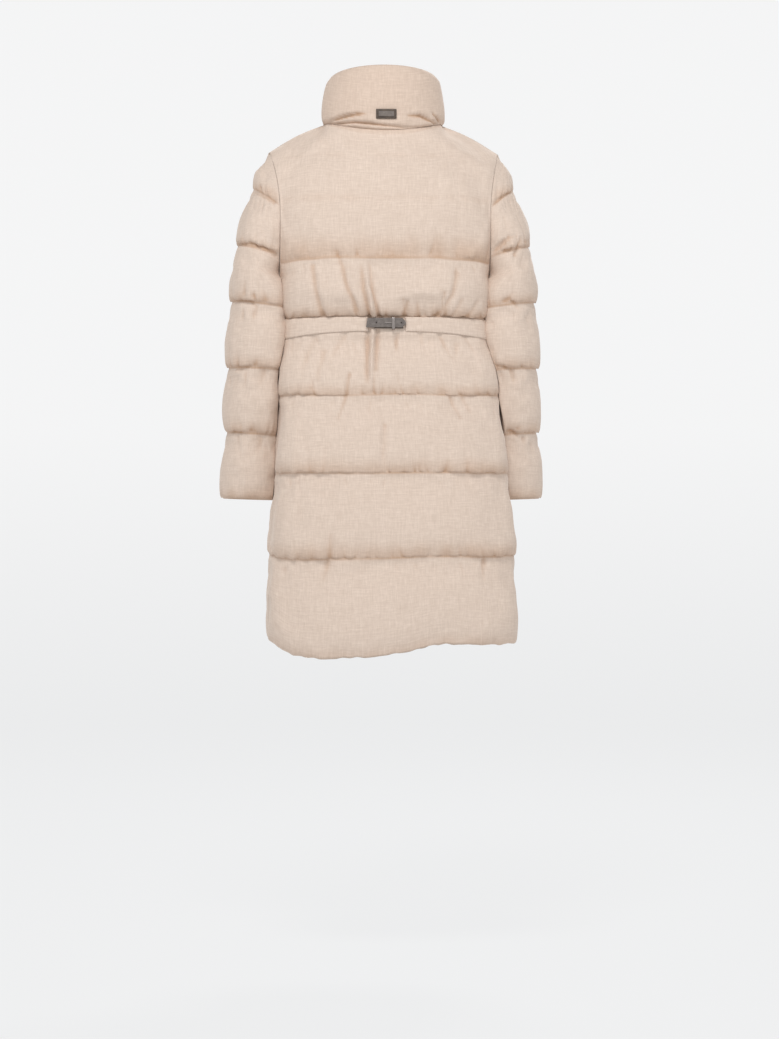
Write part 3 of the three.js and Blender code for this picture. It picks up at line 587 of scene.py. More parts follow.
def eased_yoke(base):
    """Softens the ridges that run down from the neck's two corners."""
    eased = base.copy()
    for _ in range(10):
        eased[:, 1:-1] = 0.25 * eased[:, :-2] + 0.5 * eased[:, 1:-1] + 0.25 * eased[:, 2:]
    weight = np.zeros(len(base))
    weight[:YOKE_ROWS] = smoothstep(np.arange(YOKE_ROWS), 0, 4) * (
        1 - smoothstep(np.arange(YOKE_ROWS), YOKE_ROWS - 5, YOKE_ROWS))
    weight = weight[:, None, None] * np.ones((1, base.shape[1], 1))
    weight[:, :3] = weight[:, -3:] = 0
    return mix(base, eased, weight)


def panel_fill(row, shares, x, side):
    across = 1 - shares**4
    opened = smoothstep(np.abs(x), PLACKET["half"], 90) if side == "front" else 1
    return PUFF_GAIN * row["puff"] * padding(row["share"]) * across * opened


def build_panel(name, side, shares, shift, folds):
    rows, cuts = panel_rows(GRID)
    base = np.array([form_row(side, shares, row) for row in rows])
    base = eased_yoke(base)
    out = outward(base)
    fill = np.array([panel_fill(row, shares, line[:, 0], side) for row, line in zip(rows, base)])
    skin = base + out * fill[..., None] * 0.8
    held = np.zeros(fill.shape)
    held[cuts] = 1
    held[:, [0, -1]] = 1
    band = [i for i, row in enumerate(rows) if row["puff"] == 0]
    held[band] = 1
    if side == "front":
        held[np.abs(base[..., 0]) < PLACKET["half"] + 2] = 1
    blown = inflate(name, skin, held, 5.5, 0.02)
    start = np.array([cut * SPLIT for cut in cuts])
    inside = base - out * (WALL + INNER_SWELL * fill / YOKE_PUFF / PUFF_GAIN)[..., None]
    outer, inside, middle = (refine(grid, cuts, SPLIT_ACROSS) for grid in (blown, inside, base))
    fine_out = outward(middle)
    fullness = refine(fill[..., None], cuts, SPLIT_ACROSS)[..., 0]
    u = arc_lengths(outer, 1)
    u = u - u[:, np.argmin(np.abs(shares)) * SPLIT_ACROSS][:, None]
    v = arc_lengths(outer, 0)
    line_v = v - v[start[1]][None]
    seams = [np.median(line_v[i]) for i in start[1:]]
    level = np.zeros_like(v)
    for top, bottom, low, high in zip(start[1:-1], start[2:], seams[:-1], seams[1:]):
        part = slice(top, bottom + 1)
        span = np.maximum(line_v[bottom] - line_v[top], 1e-6)
        level[part] = low + (high - low) * (line_v[part] - line_v[top]) / span
    level[:start[1]] = line_v[:start[1]]
    seed = BODY_PUCKER_SEED[name]
    edge = smoothstep(1 - np.abs(refine_line(shares, SPLIT_ACROSS))[None], 0, 0.04)
    if side == "front":
        edge = edge * smoothstep(np.abs(middle[..., 0]), PLACKET["half"] + 2, 48)
    soft = smoothstep(fullness, 0, 5)
    height = puckers(u, level, seams[:-1], seed) * smoothstep(fullness, -0.5, 2.5)
    height += 1.5 * smooth_noise(u, v, 62, seed + 1) * soft + 0.6 * smooth_noise(u, v, 24, seed + 2) * soft
    height += fold_heights(middle[..., 0] + sway(middle[..., 2]), middle[..., 2], folds)
    outer = outer + grid_normals(outer, fine_out) * (height * edge)[..., None]
    share = fine_shares([row["share"] for row in rows], cuts, outer.shape[1])
    share[start[-2] + 1:] *= HEM_SHARE
    hanging = lip_drop(share, u, seed + 3) * smoothstep(fullness, 0, 4) * edge
    hanging[:start[1]] *= 0.6
    outer[..., 2] -= hanging
    fine_share = np.abs(refine_line(shares, SPLIT_ACROSS))[None]
    dip = SEAM_DIP["drop"] * bell(middle[..., 2] - SEAM_DIP["z"], SEAM_DIP["high"])
    dip = dip * raised(fine_share, 4) * (1 - fine_share**14)
    wander = SEAM_WAVE * smooth_noise(u, v, 44, seed + 5) * edge * smoothstep(v, 8, 40)
    for grid in (outer, inside):
        grid[..., 2] -= dip + wander
    outer, inside = hung(outer) + shift, hung(inside) + shift
    level_rows = np.median(line_v, axis=1)[:, None]
    above = np.where(np.arange(len(v)) < start[1], 1.0, 0.0)[:, None]
    grain = level_rows + above * 0.5 * (line_v - level_rows)
    flat_band = refine(np.array([[float(row["puff"] == 0)] * len(shares) for row in rows])[..., None],
                       cuts, SPLIT_ACROSS)[..., 0]
    # Painted shade in folds and at seams, none on the flat band under the belt; the first rows along the neck
    # and shoulder seam get a light painted shade.
    depth = painted_crease_shade(height, share, u, seed + 4) * (1 - np.clip(flat_band, 0, 1))
    depth[:3] = 0.2
    if side == "back":
        for node in ("strap_base", "strap", "buckle"):
            tucked(outer, node)
            inside[..., 1] = np.minimum(inside[..., 1], np.where(outer[..., 1] > 0, outer[..., 1] - 1, 999))
    piece = shell(name, outer, inside, np.stack([u, grain], -1), depth * edge)
    return piece, {"outer": outer, "rows": rows, "cuts": cuts, "middle": middle}


def refine_line(values, times=SPLIT):
    return curve_through(values[:, None], times)[:, 0]


def lip_drop(share, u, seed):
    """How far points near a channel's lower seam hang down, uneven along the seam."""
    uneven = 1 + 0.55 * smooth_noise(u, share * 40, 13, seed)
    return LIP * uneven * smoothstep(share, 0.72, 0.92) * (1 - smoothstep(share, 0.95, 1))


# ------------------------------------------------------------------ sleeves

# Folds behind the left (1) and right (-1) sleeve, from x, z to x, z, half width, height at each end.
SLEEVE_BACK_FOLDS = {
    1: [
        (262, -195, 232, -202, 4.5, -1.5, -4), (232, -202, 190, -222, 4.5, -5, -7.5),
        (238, -190, 224, -198, 3.5, 1, 2.5), (226, -206, 214, -222, 5, -2.5, -1),
        (240, -100, 198, -128, 4, -1.5, -4), (222, -96, 206, -112, 4, -1.5, -0.5),
        (262, -300, 240, -303, 4, -1.5, -3), (240, -303, 230, -312, 3.5, -3.5, -2),
        (236, -292, 228, -302, 4, -2, -0.5), (230, -314, 236, -336, 5, -2, -0.5),
        (214, -298, 220, -280, 5, -1.5, -0.4), (252, -286, 250, -270, 5, -1.5, -0.4),
        (262, -422, 244, -420, 4, -2, -2.6), (232, -414, 226, -402, 4, -2, -0.8),
        (216, -426, 222, -446, 5, -2, -0.8), (248, -428, 252, -452, 5, -2, -0.8),
        (268, -532, 256, -536, 4, -2, -2.6), (238, -530, 234, -516, 4, -2, -0.6),
        (262, -542, 258, -572, 5, -2.4, -0.8), (222, -546, 226, -572, 5, -2, -0.8),
    ],
    -1: [
        (190, -212, 220, -188, 4.5, -7.5, -3.5), (230, -218, 242, -190, 4.5, -3.5, -2.5),
        (220, -188, 232, -186, 4, -3, -1), (212, -212, 232, -204, 5, -2.5, -2),
        (206, -206, 226, -200, 4, 1.5, 2), (254, -190, 262, -184, 4, -2, -1),
        (188, -132, 222, -106, 4, -4, -2), (214, -120, 236, -118, 5, -1.2, -0.6),
        (246, -240, 252, -214, 5, -1.4, -0.4), (214, -300, 222, -296, 4, -2, -3),
        (228, -302, 236, -312, 4, -3, -1.5), (222, -292, 230, -284, 4, -2, -0.6),
        (206, -414, 218, -420, 4, -2, -2.6), (226, -424, 232, -442, 5, -2.4, -0.8),
        (248, -414, 256, -402, 5, -1.8, -0.6), (210, -430, 214, -452, 5, -1.6, -0.6),
        (226, -530, 238, -538, 4, -2.6, -2), (240, -524, 248, -518, 4, -2.4, -0.8),
        (250, -544, 254, -566, 5, -2, -0.6), (214, -544, 220, -566, 5, -1.8, -0.6),
    ],
}
SLEEVE_FRONT_FOLDS = [
    (246, -214, 212, -240, 6, -2.6, -5), (252, -232, 214, -262, 6, -2.4, -4),
    (262, -300, 224, -322, 6, -1.4, -3), (214, -330, 240, -352, 6, -3.2, -1.2),
    (212, -408, 240, -396, 6, -3.2, -1.4), (210, -436, 236, -444, 6, -2.6, -1),
    (264, -446, 250, -492, 6, -2, -1), (232, -552, 238, -600, 6, -2.4, -1),
    (262, -560, 258, -606, 6, -2, -1), (218, -150, 230, -190, 6, -2, -1),
    (240, -120, 234, -150, 6, -1.6, -0.8),
]


def sleeve_rings(at):
    """The table's rings at places between its rows, as arrays."""
    i = np.clip(np.floor(at).astype(int), 0, len(SLEEVE_RINGS) - 2)
    share = at - i

    def read(name):
        values = np.array([ring[name] for ring in SLEEVE_RINGS], float)
        return mix(values[i], values[i + 1], share)

    joined = at <= UNDERARM_RING
    joint = armhole(read("angle"))
    return {"out": points(read("out_x"), read("y"), read("out_z")), "half": read("half"),
            "in_x": np.where(joined, joint[..., 0], read("in_x")),
            "in_z": np.where(joined, joint[..., 2], read("in_z")),
            "turn": np.radians(np.where(joined, read("angle"), 180.0)), "joined": joined}


def body_reach(y, z, direction):
    """How far out the swaying body and its padding reach beside a sleeve."""
    reach = {}
    for side in ("back", "front"):
        cut = section(side, np.minimum(z, UNDERARM_Z))
        deep = np.clip(np.abs(y - cut["seam_y"]) / cut["depth"], 0, 1)
        angle = np.arccos(deep ** (cut["power"] / 2))
        across = 1 - (angle / cut["end"]) ** 4
        reach[side] = cut["half"] * raised(np.sin(angle), 2 / cut["power"]) + body_fill(z) * across
    nearest = np.where(y > side_seam_y(z), reach["back"], reach["front"])
    return nearest + direction * sway(z) + SLEEVE_CLEARANCE


def body_fill(z):
    fill = np.zeros_like(z)
    for channel in CHANNELS:
        share = (channel["top"] - z) / (channel["top"] - channel["bottom"])
        fill = np.where((share >= 0) & (share <= 1), channel["puff"] * padding(share), fill)
    return fill


def build_sleeve(name, direction):
    count = 42
    share = np.linspace(-1, 1, count + 1)
    places, fills, shares_down, cuts = [0.0], [0.0], [0.0], [0]
    for channel in SLEEVE_CHANNELS:
        steps = np.arange(1 if channel["from_share"] == 0 else 0, channel["rows"] + 1) / channel["rows"]
        places += list(mix(channel["top"], channel["bottom"], steps))
        shares_down += list(mix(channel["from_share"], 1, steps))
        fills += list(channel["puff"] * padding(mix(channel["from_share"], 1, steps)))
        cuts.append(len(places) - 1)
    at = np.array(places)
    ring = sleeve_rings(at)
    turn = ring["turn"][:, None]
    angle = turn * share[None]
    reach = points(ring["out"][:, 0] - ring["in_x"], 0, ring["out"][:, 2] - ring["in_z"])
    reach = reach / np.maximum(1 - np.cos(turn), 1e-6)
    square = SLEEVE_SQUARE * smoothstep(at, 2.4, 3.6)[:, None] * smoothstep(share, 0.4, 0.6)[None]
    flatter = 1 - 0.5 * square
    across_turn = np.where(angle > math.pi / 2, -raised(np.cos(angle), flatter), np.cos(angle))
    deep_turn = np.sign(angle) * raised(np.sin(angle), flatter)
    base = ring["out"][:, None] + reach[:, None] * (across_turn - 1)[..., None]
    base[..., 1] += ring["half"][:, None] * deep_turn
    away = unit(reach)[:, None] * np.cos(angle)[..., None]
    away[..., 1] = np.sin(angle)
    edge = np.where(ring["joined"], 1.0, 0.0)[:, None] * np.abs(share)[None] ** 6
    away[..., 0] = mix(away[..., 0], np.minimum(away[..., 0], 0), edge)
    base[0] = armhole(SLEEVE_TOP_ANGLE * share)
    top_turn = np.radians(SLEEVE_TOP_ANGLE * share)
    away[0] = points(0, np.sin(top_turn), np.cos(top_turn))
    away = unit(away)
    fill = np.array(fills)[:, None] * (1 - np.abs(share)[None] ** 3)
    skin = base + away * fill[..., None] * 0.8
    held = np.zeros(fill.shape)
    held[cuts] = 1
    held[:, [0, -1]] = 1
    blown = inflate(name, skin, held, 3, 0.04)
    inside = base - away * (WALL + INNER_SWELL * fill / YOKE_PUFF)[..., None]
    outer, inner = (refine(grid, cuts) for grid in (blown, inside))
    fine_away = refine(away, cuts)
    fullness = refine(fill[..., None], cuts)[..., 0]
    u = (refine_line(share) * 205)[None] + np.zeros(len(outer))[:, None]
    v = arc_lengths(outer, 0)
    seams_at = [cut * SPLIT for cut in cuts[1:]]
    seams = [np.median(v[i]) for i in seams_at]
    level = np.zeros_like(v)
    for first, last, low, high in zip([0] + seams_at[:-1], seams_at, [0] + seams[:-1], seams):
        part = slice(first, last + 1)
        level[part] = low + (high - low) * (v[part] - v[first]) / np.maximum(v[last] - v[first], 1e-6)
    seed = 31 if direction > 0 else 41
    soft = smoothstep(fullness, 0, 4)
    height = puckers(u, level, seams[:-1], seed, 1.15) * smoothstep(fullness, -0.5, 2.5)
    height += 1.6 * smooth_noise(u, v, 48, seed + 1) * soft + 0.7 * smooth_noise(u, v, 20, seed + 2) * soft
    behind = smoothstep(fine_away[..., 1], -0.1, 0.1)
    for folds, face in ((SLEEVE_BACK_FOLDS[direction], behind), (SLEEVE_FRONT_FOLDS, 1 - behind)):
        height += face * fold_heights(outer[..., 0], outer[..., 2], folds)
    height *= 1 - np.abs(refine_line(share)) ** 8
    outer = outer + grid_normals(outer, fine_away) * height[..., None]
    lower = refine((at >= UNDERARM_RING).astype(float)[:, None, None] * np.ones((1, count + 1, 1)),
                   cuts)[..., 0] > 0.99
    part = fine_shares(shares_down, cuts, outer.shape[1])
    outer[..., 2] -= 0.8 * lip_drop(part, u, seed + 3) * soft * (1 - np.abs(refine_line(share)) ** 6)
    fine_share = refine_line(share)[None]
    press = smoothstep(fine_share, 0.4, 0.7) * (1 - smoothstep(fine_share, 0.95, 1))
    ring_at = np.repeat(curve_through(at[:, None], SPLIT), outer.shape[1], axis=1)
    press = press * smoothstep(ring_at, 2.4, 3.4) * (1 - 0.7 * smoothstep(ring_at, 4, 5.5))
    for grid, extra in ((outer, 0), (inner, WALL)):
        clear = body_reach(grid[..., 1], grid[..., 2], direction) + extra
        grid[..., 0] -= SLEEVE_PRESS * press
        grid[..., 0] = np.where(lower, np.maximum(grid[..., 0], clear), grid[..., 0])
    join = lower[:, 0]
    for grid in (outer, inner):
        grid[join, -1] = grid[join, 0]
    placed = [(grid + [ARMHOLE_GAP, 0, 0]) * [direction, 1, 1] for grid in (outer, inner)]
    # Painted shade in the sleeve's folds and at its seams, fading out towards its inner edges.
    depth = painted_crease_shade(height, part, u, seed + 4) * (1 - np.abs(refine_line(share)) ** 12)
    return shell(name, placed[0], placed[1], np.stack([u, v], -1), depth)


# ------------------------------------------------------------------ collar

# Folds of the collar, as millimetres round from the middle of the back (left is above 0) and height.
COLLAR_FOLDS = [
    (140, 17, 129, 15, 3.2, -3, -4.5), (129, 15, 53, 14, 3.0, -4.5, -5), (53, 14, 6, 8, 2.8, -5, -4),
    (6, 8, -35, 4, 2.6, -4, -2.2), (-35, 4, -80, 6, 2.6, -2.2, -1.5), (-80, 6, -140, 10, 3, -1.5, -3),
    (104, 19, 78, 24, 3.4, -2, -4.5), (78, 24, 48, 28, 3.2, -4.5, -4.5), (48, 28, 33, 28, 3, -4.5, -1),
    (100, 27, 60, 36, 6, 2, 2), (-37, 25, -57, 27, 3.2, -1.5, -4.2), (-57, 27, -75, 21, 3.2, -4.2, -3.5),
    (-75, 21, -112, 14, 3.2, -3.5, -3.5), (-84, 34, -90, 31, 3.5, -1, -3), (-90, 31, -112, 21, 3, -4, -3.5),
    (-96, 32, -84, 24, 4, 1.5, 2), (-50, 33, -80, 34, 6, 1.5, 1), (30, 20, -30, 14, 5, 1.4, 1),
    (60, 74, 52, 108, 9, -0.4, -0.6), (-36, 70, -30, 108, 9, -0.4, -0.6), (150, 20, 190, 12, 4, -3, -3),
    (-150, 18, -196, 10, 4, -3, -3), (210, 60, 226, 20, 6, -1.4, -2), (-214, 54, -228, 16, 6, -1.4, -2),
]


def collar_points(angle, share):
    low = np.where((np.abs(angle) <= math.pi / 2)[..., None], neckline("back", angle),
                   neckline("front", math.pi - angle))
    lean = smoothstep(share, 0, 1)
    to_back = raised((1 + np.cos(angle)) / 2, 0.6)
    top_z = mix(COLLAR["front_top_z"], COLLAR["back_top_z"], to_back)
    high_x = COLLAR["top_half_width"] * np.sin(angle)
    high_y = COLLAR["top_centre_y"] + COLLAR["top_half_depth"] * np.cos(angle)
    return points(mix(low[..., 0], high_x, lean), mix(low[..., 1], high_y, lean),
                  mix(low[..., 2] + SEAM_GAP, top_z, share))


def build_collar():
    angle = np.linspace(-math.pi, math.pi, 65)
    shares = np.concatenate([[0, 0.025, 0.05, 0.075], np.linspace(0.1, 1, 12)])
    cuts = [0, len(shares) - 1]
    base = collar_points(angle[None], shares[:, None])
    away = points(np.sin(angle), np.cos(angle), 0)[None] + np.zeros_like(base)
    open_edge = smoothstep(math.pi - np.abs(angle), math.radians(15), math.radians(40))
    fill = table_value(COLLAR_PUFFS, "share", shares, "puff")[:, None] * open_edge[None]
    skin = base + away * fill[..., None] * 0.85
    held = np.zeros(fill.shape)
    held[[0, -1]] = 1
    held[:, np.pi - np.abs(angle) < math.radians(16)] = 1
    blown = inflate("collar", skin, held, 2.5, 0.02)
    inside = base - away * (WALL + 0.4 * fill)[..., None]
    outer, inner = (refine(grid, cuts) for grid in (blown, inside))
    fine_away = refine(away, cuts)
    soft = smoothstep(refine(fill[..., None], cuts)[..., 0], 0, 4)
    u = refine_line(angle)[None] * 100 + np.zeros(len(outer))[:, None]
    v = arc_lengths(outer, 0)
    height = 1.2 * smooth_noise(u, v, 46, 51) * soft + 0.5 * smooth_noise(u, v, 20, 52) * soft
    height += fold_heights(u, outer[..., 2], COLLAR_FOLDS) * soft
    outer = outer + fine_away * height[..., None]
    for grid in (outer, inner):
        grid[:, 0, 0] = -SEAM_GAP / 2
        grid[:, -1, 0] = SEAM_GAP / 2
    # Painted shade in the collar's folds, a light painted shade all over, and a darker one along its lower
    # seam.
    depth = np.clip((blurred(height, 2) - height) / 2.0 - 0.15, 0, 1)
    depth = np.maximum(depth, COLLAR_PAINTED_SHADE + (0.6 - COLLAR_PAINTED_SHADE) * (1 - smoothstep(v, 0, 3)))
    tucked(outer, "collar_plate")
    return shell("padded_collar", outer, inner, np.stack([u, v], -1), depth), {"outer": outer, "angle": u / 100}


# ------------------------------------------------------------------ placket, belts, snaps

def strip_mesh(name, middle, out, thick, cloth_uv, crown=0.4):
    """A stitched strip: its faces swell a little between the edges and its rim is rounded."""
    rows, columns = middle.shape[:2]
    across = np.linspace(-1, 1, columns)[None]
    edge = np.sqrt(np.clip(1 - raised(across, 10), 0, 1))
    body = thick * (0.35 + 0.65 * edge) + crown * (1 - across**2)
    outer = middle + out * body[..., None]
    inner = middle + out * (thick * 0.3 * (1 - edge))[..., None]
    return shell(name, outer, inner, cloth_uv)


def strip_grid(lines, count):
    """Splits a strip's few lines along its length into even rows."""
    return curve_through(lines, count)


def build_placket():
    half = PLACKET["half"]
    x = np.linspace(-half, half, 27)
    rows, _ = panel_rows(GRID)
    shares = NECK_SHARE * np.arcsin(x / NECK["half_width"]) / (math.pi / 2)
    body = np.array([hung(form_row("front", shares, row, x)) for row in rows])
    body[..., 1] -= SEAM_GAP / 2
    angle = math.pi - np.arcsin(x / NECK["half_width"])
    neck = np.array([collar_points(angle, np.full_like(angle, share)) for share in
                     np.linspace(1, 0.02, 10)])
    middle = curve_through(np.concatenate([neck, body]), SPLIT)
    forward = np.array([0.0, -1.0, 0.0])
    v = arc_lengths(middle, 0)
    u = np.broadcast_to(x, v.shape)
    wave = 0.5 * smooth_noise(u, v, 40, 61)
    stitch = sum(bell(np.abs(u) - (half - PLACKET["stitch_in"]), 1.4) for _ in range(1))
    out = np.broadcast_to(forward, middle.shape)
    lifted = middle + out * (PLACKET["lift"] + 0.0 * wave)[..., None]
    swell = (wave - 0.9 * stitch)[..., None]
    across = np.linspace(-1, 1, len(x))[None]
    edge = np.sqrt(np.clip(1 - raised(across, 12), 0, 1))
    body_thick = PLACKET["thick"] * (0.4 + 0.6 * edge)
    outer = lifted + out * (body_thick[..., None] + swell)
    piece = shell("front_placket", outer, lifted, np.stack([u, v], -1))
    return piece, {"outer": outer}


def build_belt(name, start, end, seed):
    """A half belt from the strap to the side seam, where its lower edge hangs a little."""
    count, levels = 96, 15
    along = np.linspace(0, 1, count)[:, None]
    x = mix(start, end, along[:, 0])
    level = np.linspace(0, 1, levels)[None]
    z = BELT["top_z"] - level * (BELT["high"] + BELT["end_drop"] * along**2) - 1.5 * along**2
    grid = np.zeros((count, levels, 3))
    for j in range(levels):
        cut = section("back", z[:, j])
        grid[:, j] = section_points("back", cut, column_angle(cut, None, x), z[:, j])
    out = outward(grid)
    u = arc_lengths(grid, 0)
    v = np.broadcast_to(-z, u.shape)
    wave = 0.45 * smooth_noise(u, v, 24, seed) + 0.25 * smooth_noise(u, v, 9, seed + 1)
    grid = grid + points(sway(grid[..., 2]), 0.2, 0)
    side = 2 * level - 1
    edge = np.sqrt(np.clip(1 - raised(side, 8), 0, 1))
    ends = np.sqrt(np.clip(1 - raised(2 * along - 1, 60), 0, 1))
    stitch = bell((1 - np.abs(side)) * BELT["high"] / 2 - 3.4, 1.0)
    box = bell(u.max() - u - 8, 1.0) + bell(u.max() - u - 17, 1.0)
    body = BELT["thick"] * (0.35 + 0.65 * edge * ends) - 0.5 * np.maximum(stitch, box) + wave
    outer = grid + out * (BELT["lift"] + np.maximum(body, 0.7))[..., None]
    inner = grid + out * BELT["lift"]
    return shell(name, outer, inner, np.stack([u, v], -1))


def lathe(name, profile, centre, axis, segments=40):
    """A turned solid round an axis, from radius and height pairs that start and end on the axis."""
    turn = np.linspace(0, 2 * math.pi, segments, endpoint=False)
    verts, faces = [], []
    for radius, height in profile:
        verts += [(radius * math.cos(t), radius * math.sin(t), height) for t in turn]
    for ring in range(len(profile) - 1):
        for i in range(segments):
            a, b = ring * segments + i, ring * segments + (i + 1) % segments
            faces.append([a, b, b + segments, a + segments])
    faces.append(list(range(segments))[::-1])
    faces.append([(len(profile) - 1) * segments + i for i in range(segments)])
    rotation = Vector((0, 0, 1)).rotation_difference(Vector(axis))
    placed = [np.array(rotation @ Vector(v)) + centre for v in verts]
    return add_mesh(name, np.array(placed) * MM, faces)


def build_snap(node):
    low, high = (np.array(corner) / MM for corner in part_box(node))
    centre = (low + high) / 2
    tilt = (high - low)[1] / 15
    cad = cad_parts[node].data
    normal = max(cad.polygons, key=lambda face: face.area).normal
    axis = Vector(normal) if normal[1] < 0 else -Vector(normal)
    profile = [(5.2, 0), (7.1, 0.1), (7.5, 0.5), (7.5, 1.2), (7.2, 1.8), (6.4, 2.2), (5.9, 2.15),
               (5.5, 1.75), (4.6, 1.75), (3.2, 1.95), (1.6, 2.05), (0.4, 2.1)]
    start = centre - np.array(axis) * 1.2
    return lathe("cap_" + node, profile, start, axis)


# ------------------------------------------------------------------ leather and metal

def outline_solid(name, outline, thick, y, dome=0.0, bevel=0.6, segments=3, ridge=None):
    """A flat leather or metal piece in the XZ plane, from its outline, with rounded edges."""
    import bmesh
    bm = bmesh.new()
    low = [bm.verts.new((x * MM, y * MM, z * MM)) for x, z in outline]
    face = bm.faces.new(low)
    made = bmesh.ops.extrude_face_region(bm, geom=[face])
    top = [item for item in made["geom"] if isinstance(item, bmesh.types.BMVert)]
    for vert in top:
        vert.co.y += thick * MM
    bmesh.ops.recalc_face_normals(bm, faces=bm.faces)
    sharp = [edge for edge in bm.edges if edge.calc_face_angle(0) > math.radians(30)]
    bmesh.ops.bevel(bm, geom=sharp, offset=bevel * MM, segments=segments, profile=0.6,
                    affect="EDGES", clamp_overlap=True)
    mesh = bpy.data.meshes.new(name)
    bm.to_mesh(mesh)
    bm.free()
    mesh.polygons.foreach_set("use_smooth", [True] * len(mesh.polygons))
    piece = bpy.data.objects.new(name, mesh)
    bpy.context.scene.collection.objects.link(piece)
    mesh.set_sharp_from_angle(angle=math.radians(40))
    return piece


def tube(name, route, radius, segments=10, close=False):
    """A round wire or thread along a route of points, closed at its ends."""
    route = np.asarray(route, float)
    tangent = unit(np.gradient(route, axis=0))
    side = unit(np.cross(tangent, np.broadcast_to([0.13, 0.98, 0.11], tangent.shape)))
    other = np.cross(tangent, side)
    turn = np.linspace(0, 2 * math.pi, segments, endpoint=False)
    rings = (route[:, None] + radius * (side[:, None] * np.cos(turn)[None, :, None]
                                        + other[:, None] * np.sin(turn)[None, :, None]))
    verts = rings.reshape(-1, 3)
    faces = []
    for i in range(len(route) - 1):
        for j in range(segments):
            a, b = i * segments + j, i * segments + (j + 1) % segments
            faces.append([a, b, b + segments, a + segments])
    faces.append(list(range(segments))[::-1])
    faces.append([(len(route) - 1) * segments + j for j in range(segments)])
    return verts, faces


def thread_run(name, lines, y, pitch=3.2, long=2.2, radius=0.28):
    """Stitches along lines in the XZ plane, as one mesh of short threads."""
    verts, faces = [], []
    for (x0, z0), (x1, z1) in lines:
        run = np.array([x1 - x0, z1 - z0], float)
        length = np.linalg.norm(run)
        for k in range(int(length / pitch)):
            a = (k * pitch + 0.4) / length
            b = a + long / length
            t = np.linspace(a, min(b, 1), 5)
            lift = radius * 0.9 * np.sin(np.linspace(0, math.pi, 5))
            route = points(x0 + run[0] * t, y + lift - radius * 0.35, z0 + run[1] * t)
            more, sides = tube(name, route, radius, 6)
            faces += [[v + len(verts) for v in face] for face in sides]
            verts += more.tolist()
    return add_mesh(name, np.array(verts) * MM, faces)


# ------------------------------------------------------------------ materials

CLOTH_LIGHT = (0.71, 0.588, 0.5)
CLOTH_DARK = (0.56, 0.447, 0.368)
# colour that creases and seams are multiplied towards, as painted shade
PAINTED_CREASE_SHADE = (0.74, 0.60, 0.49)


def node_material(name):
    material = bpy.data.materials.new(name)
    material.use_nodes = True
    tree = material.node_tree
    return material, tree, tree.nodes["Principled BSDF"]


def noise_node(tree, vector, scale, detail=4.0, roughness=0.6):
    node = tree.nodes.new("ShaderNodeTexNoise")
    node.inputs["Scale"].default_value = scale
    node.inputs["Detail"].default_value = detail
    node.inputs["Roughness"].default_value = roughness
    tree.links.new(vector, node.inputs["Vector"])
    return node.outputs["Fac"]


def stretched(tree, vector, scale):
    node = tree.nodes.new("ShaderNodeMapping")
    node.inputs["Scale"].default_value = scale
    tree.links.new(vector, node.inputs["Vector"])
    return node.outputs["Vector"]


def maths(tree, operation, a, b):
    node = tree.nodes.new("ShaderNodeMath")
    node.operation = operation
    for socket, value in zip(node.inputs, (a, b)):
        if isinstance(value, (int, float)):
            socket.default_value = value
        else:
            tree.links.new(value, socket)
    return node.outputs[0]


def ramp(tree, factor, stops):
    node = tree.nodes.new("ShaderNodeValToRGB")
    tree.links.new(factor, node.inputs["Fac"])
    elements = node.color_ramp.elements
    while len(elements) < len(stops):
        elements.new(0.5)
    for element, (place, colour) in zip(elements, stops):
        element.position = place
        element.color = (*colour, 1)
    return node.outputs["Color"]


def bump(tree, shader, height, strength, distance):
    node = tree.nodes.new("ShaderNodeBump")
    node.inputs["Strength"].default_value = strength
    node.inputs["Distance"].default_value = distance
    tree.links.new(height, node.inputs["Height"])
    tree.links.new(node.outputs["Normal"], shader.inputs["Normal"])


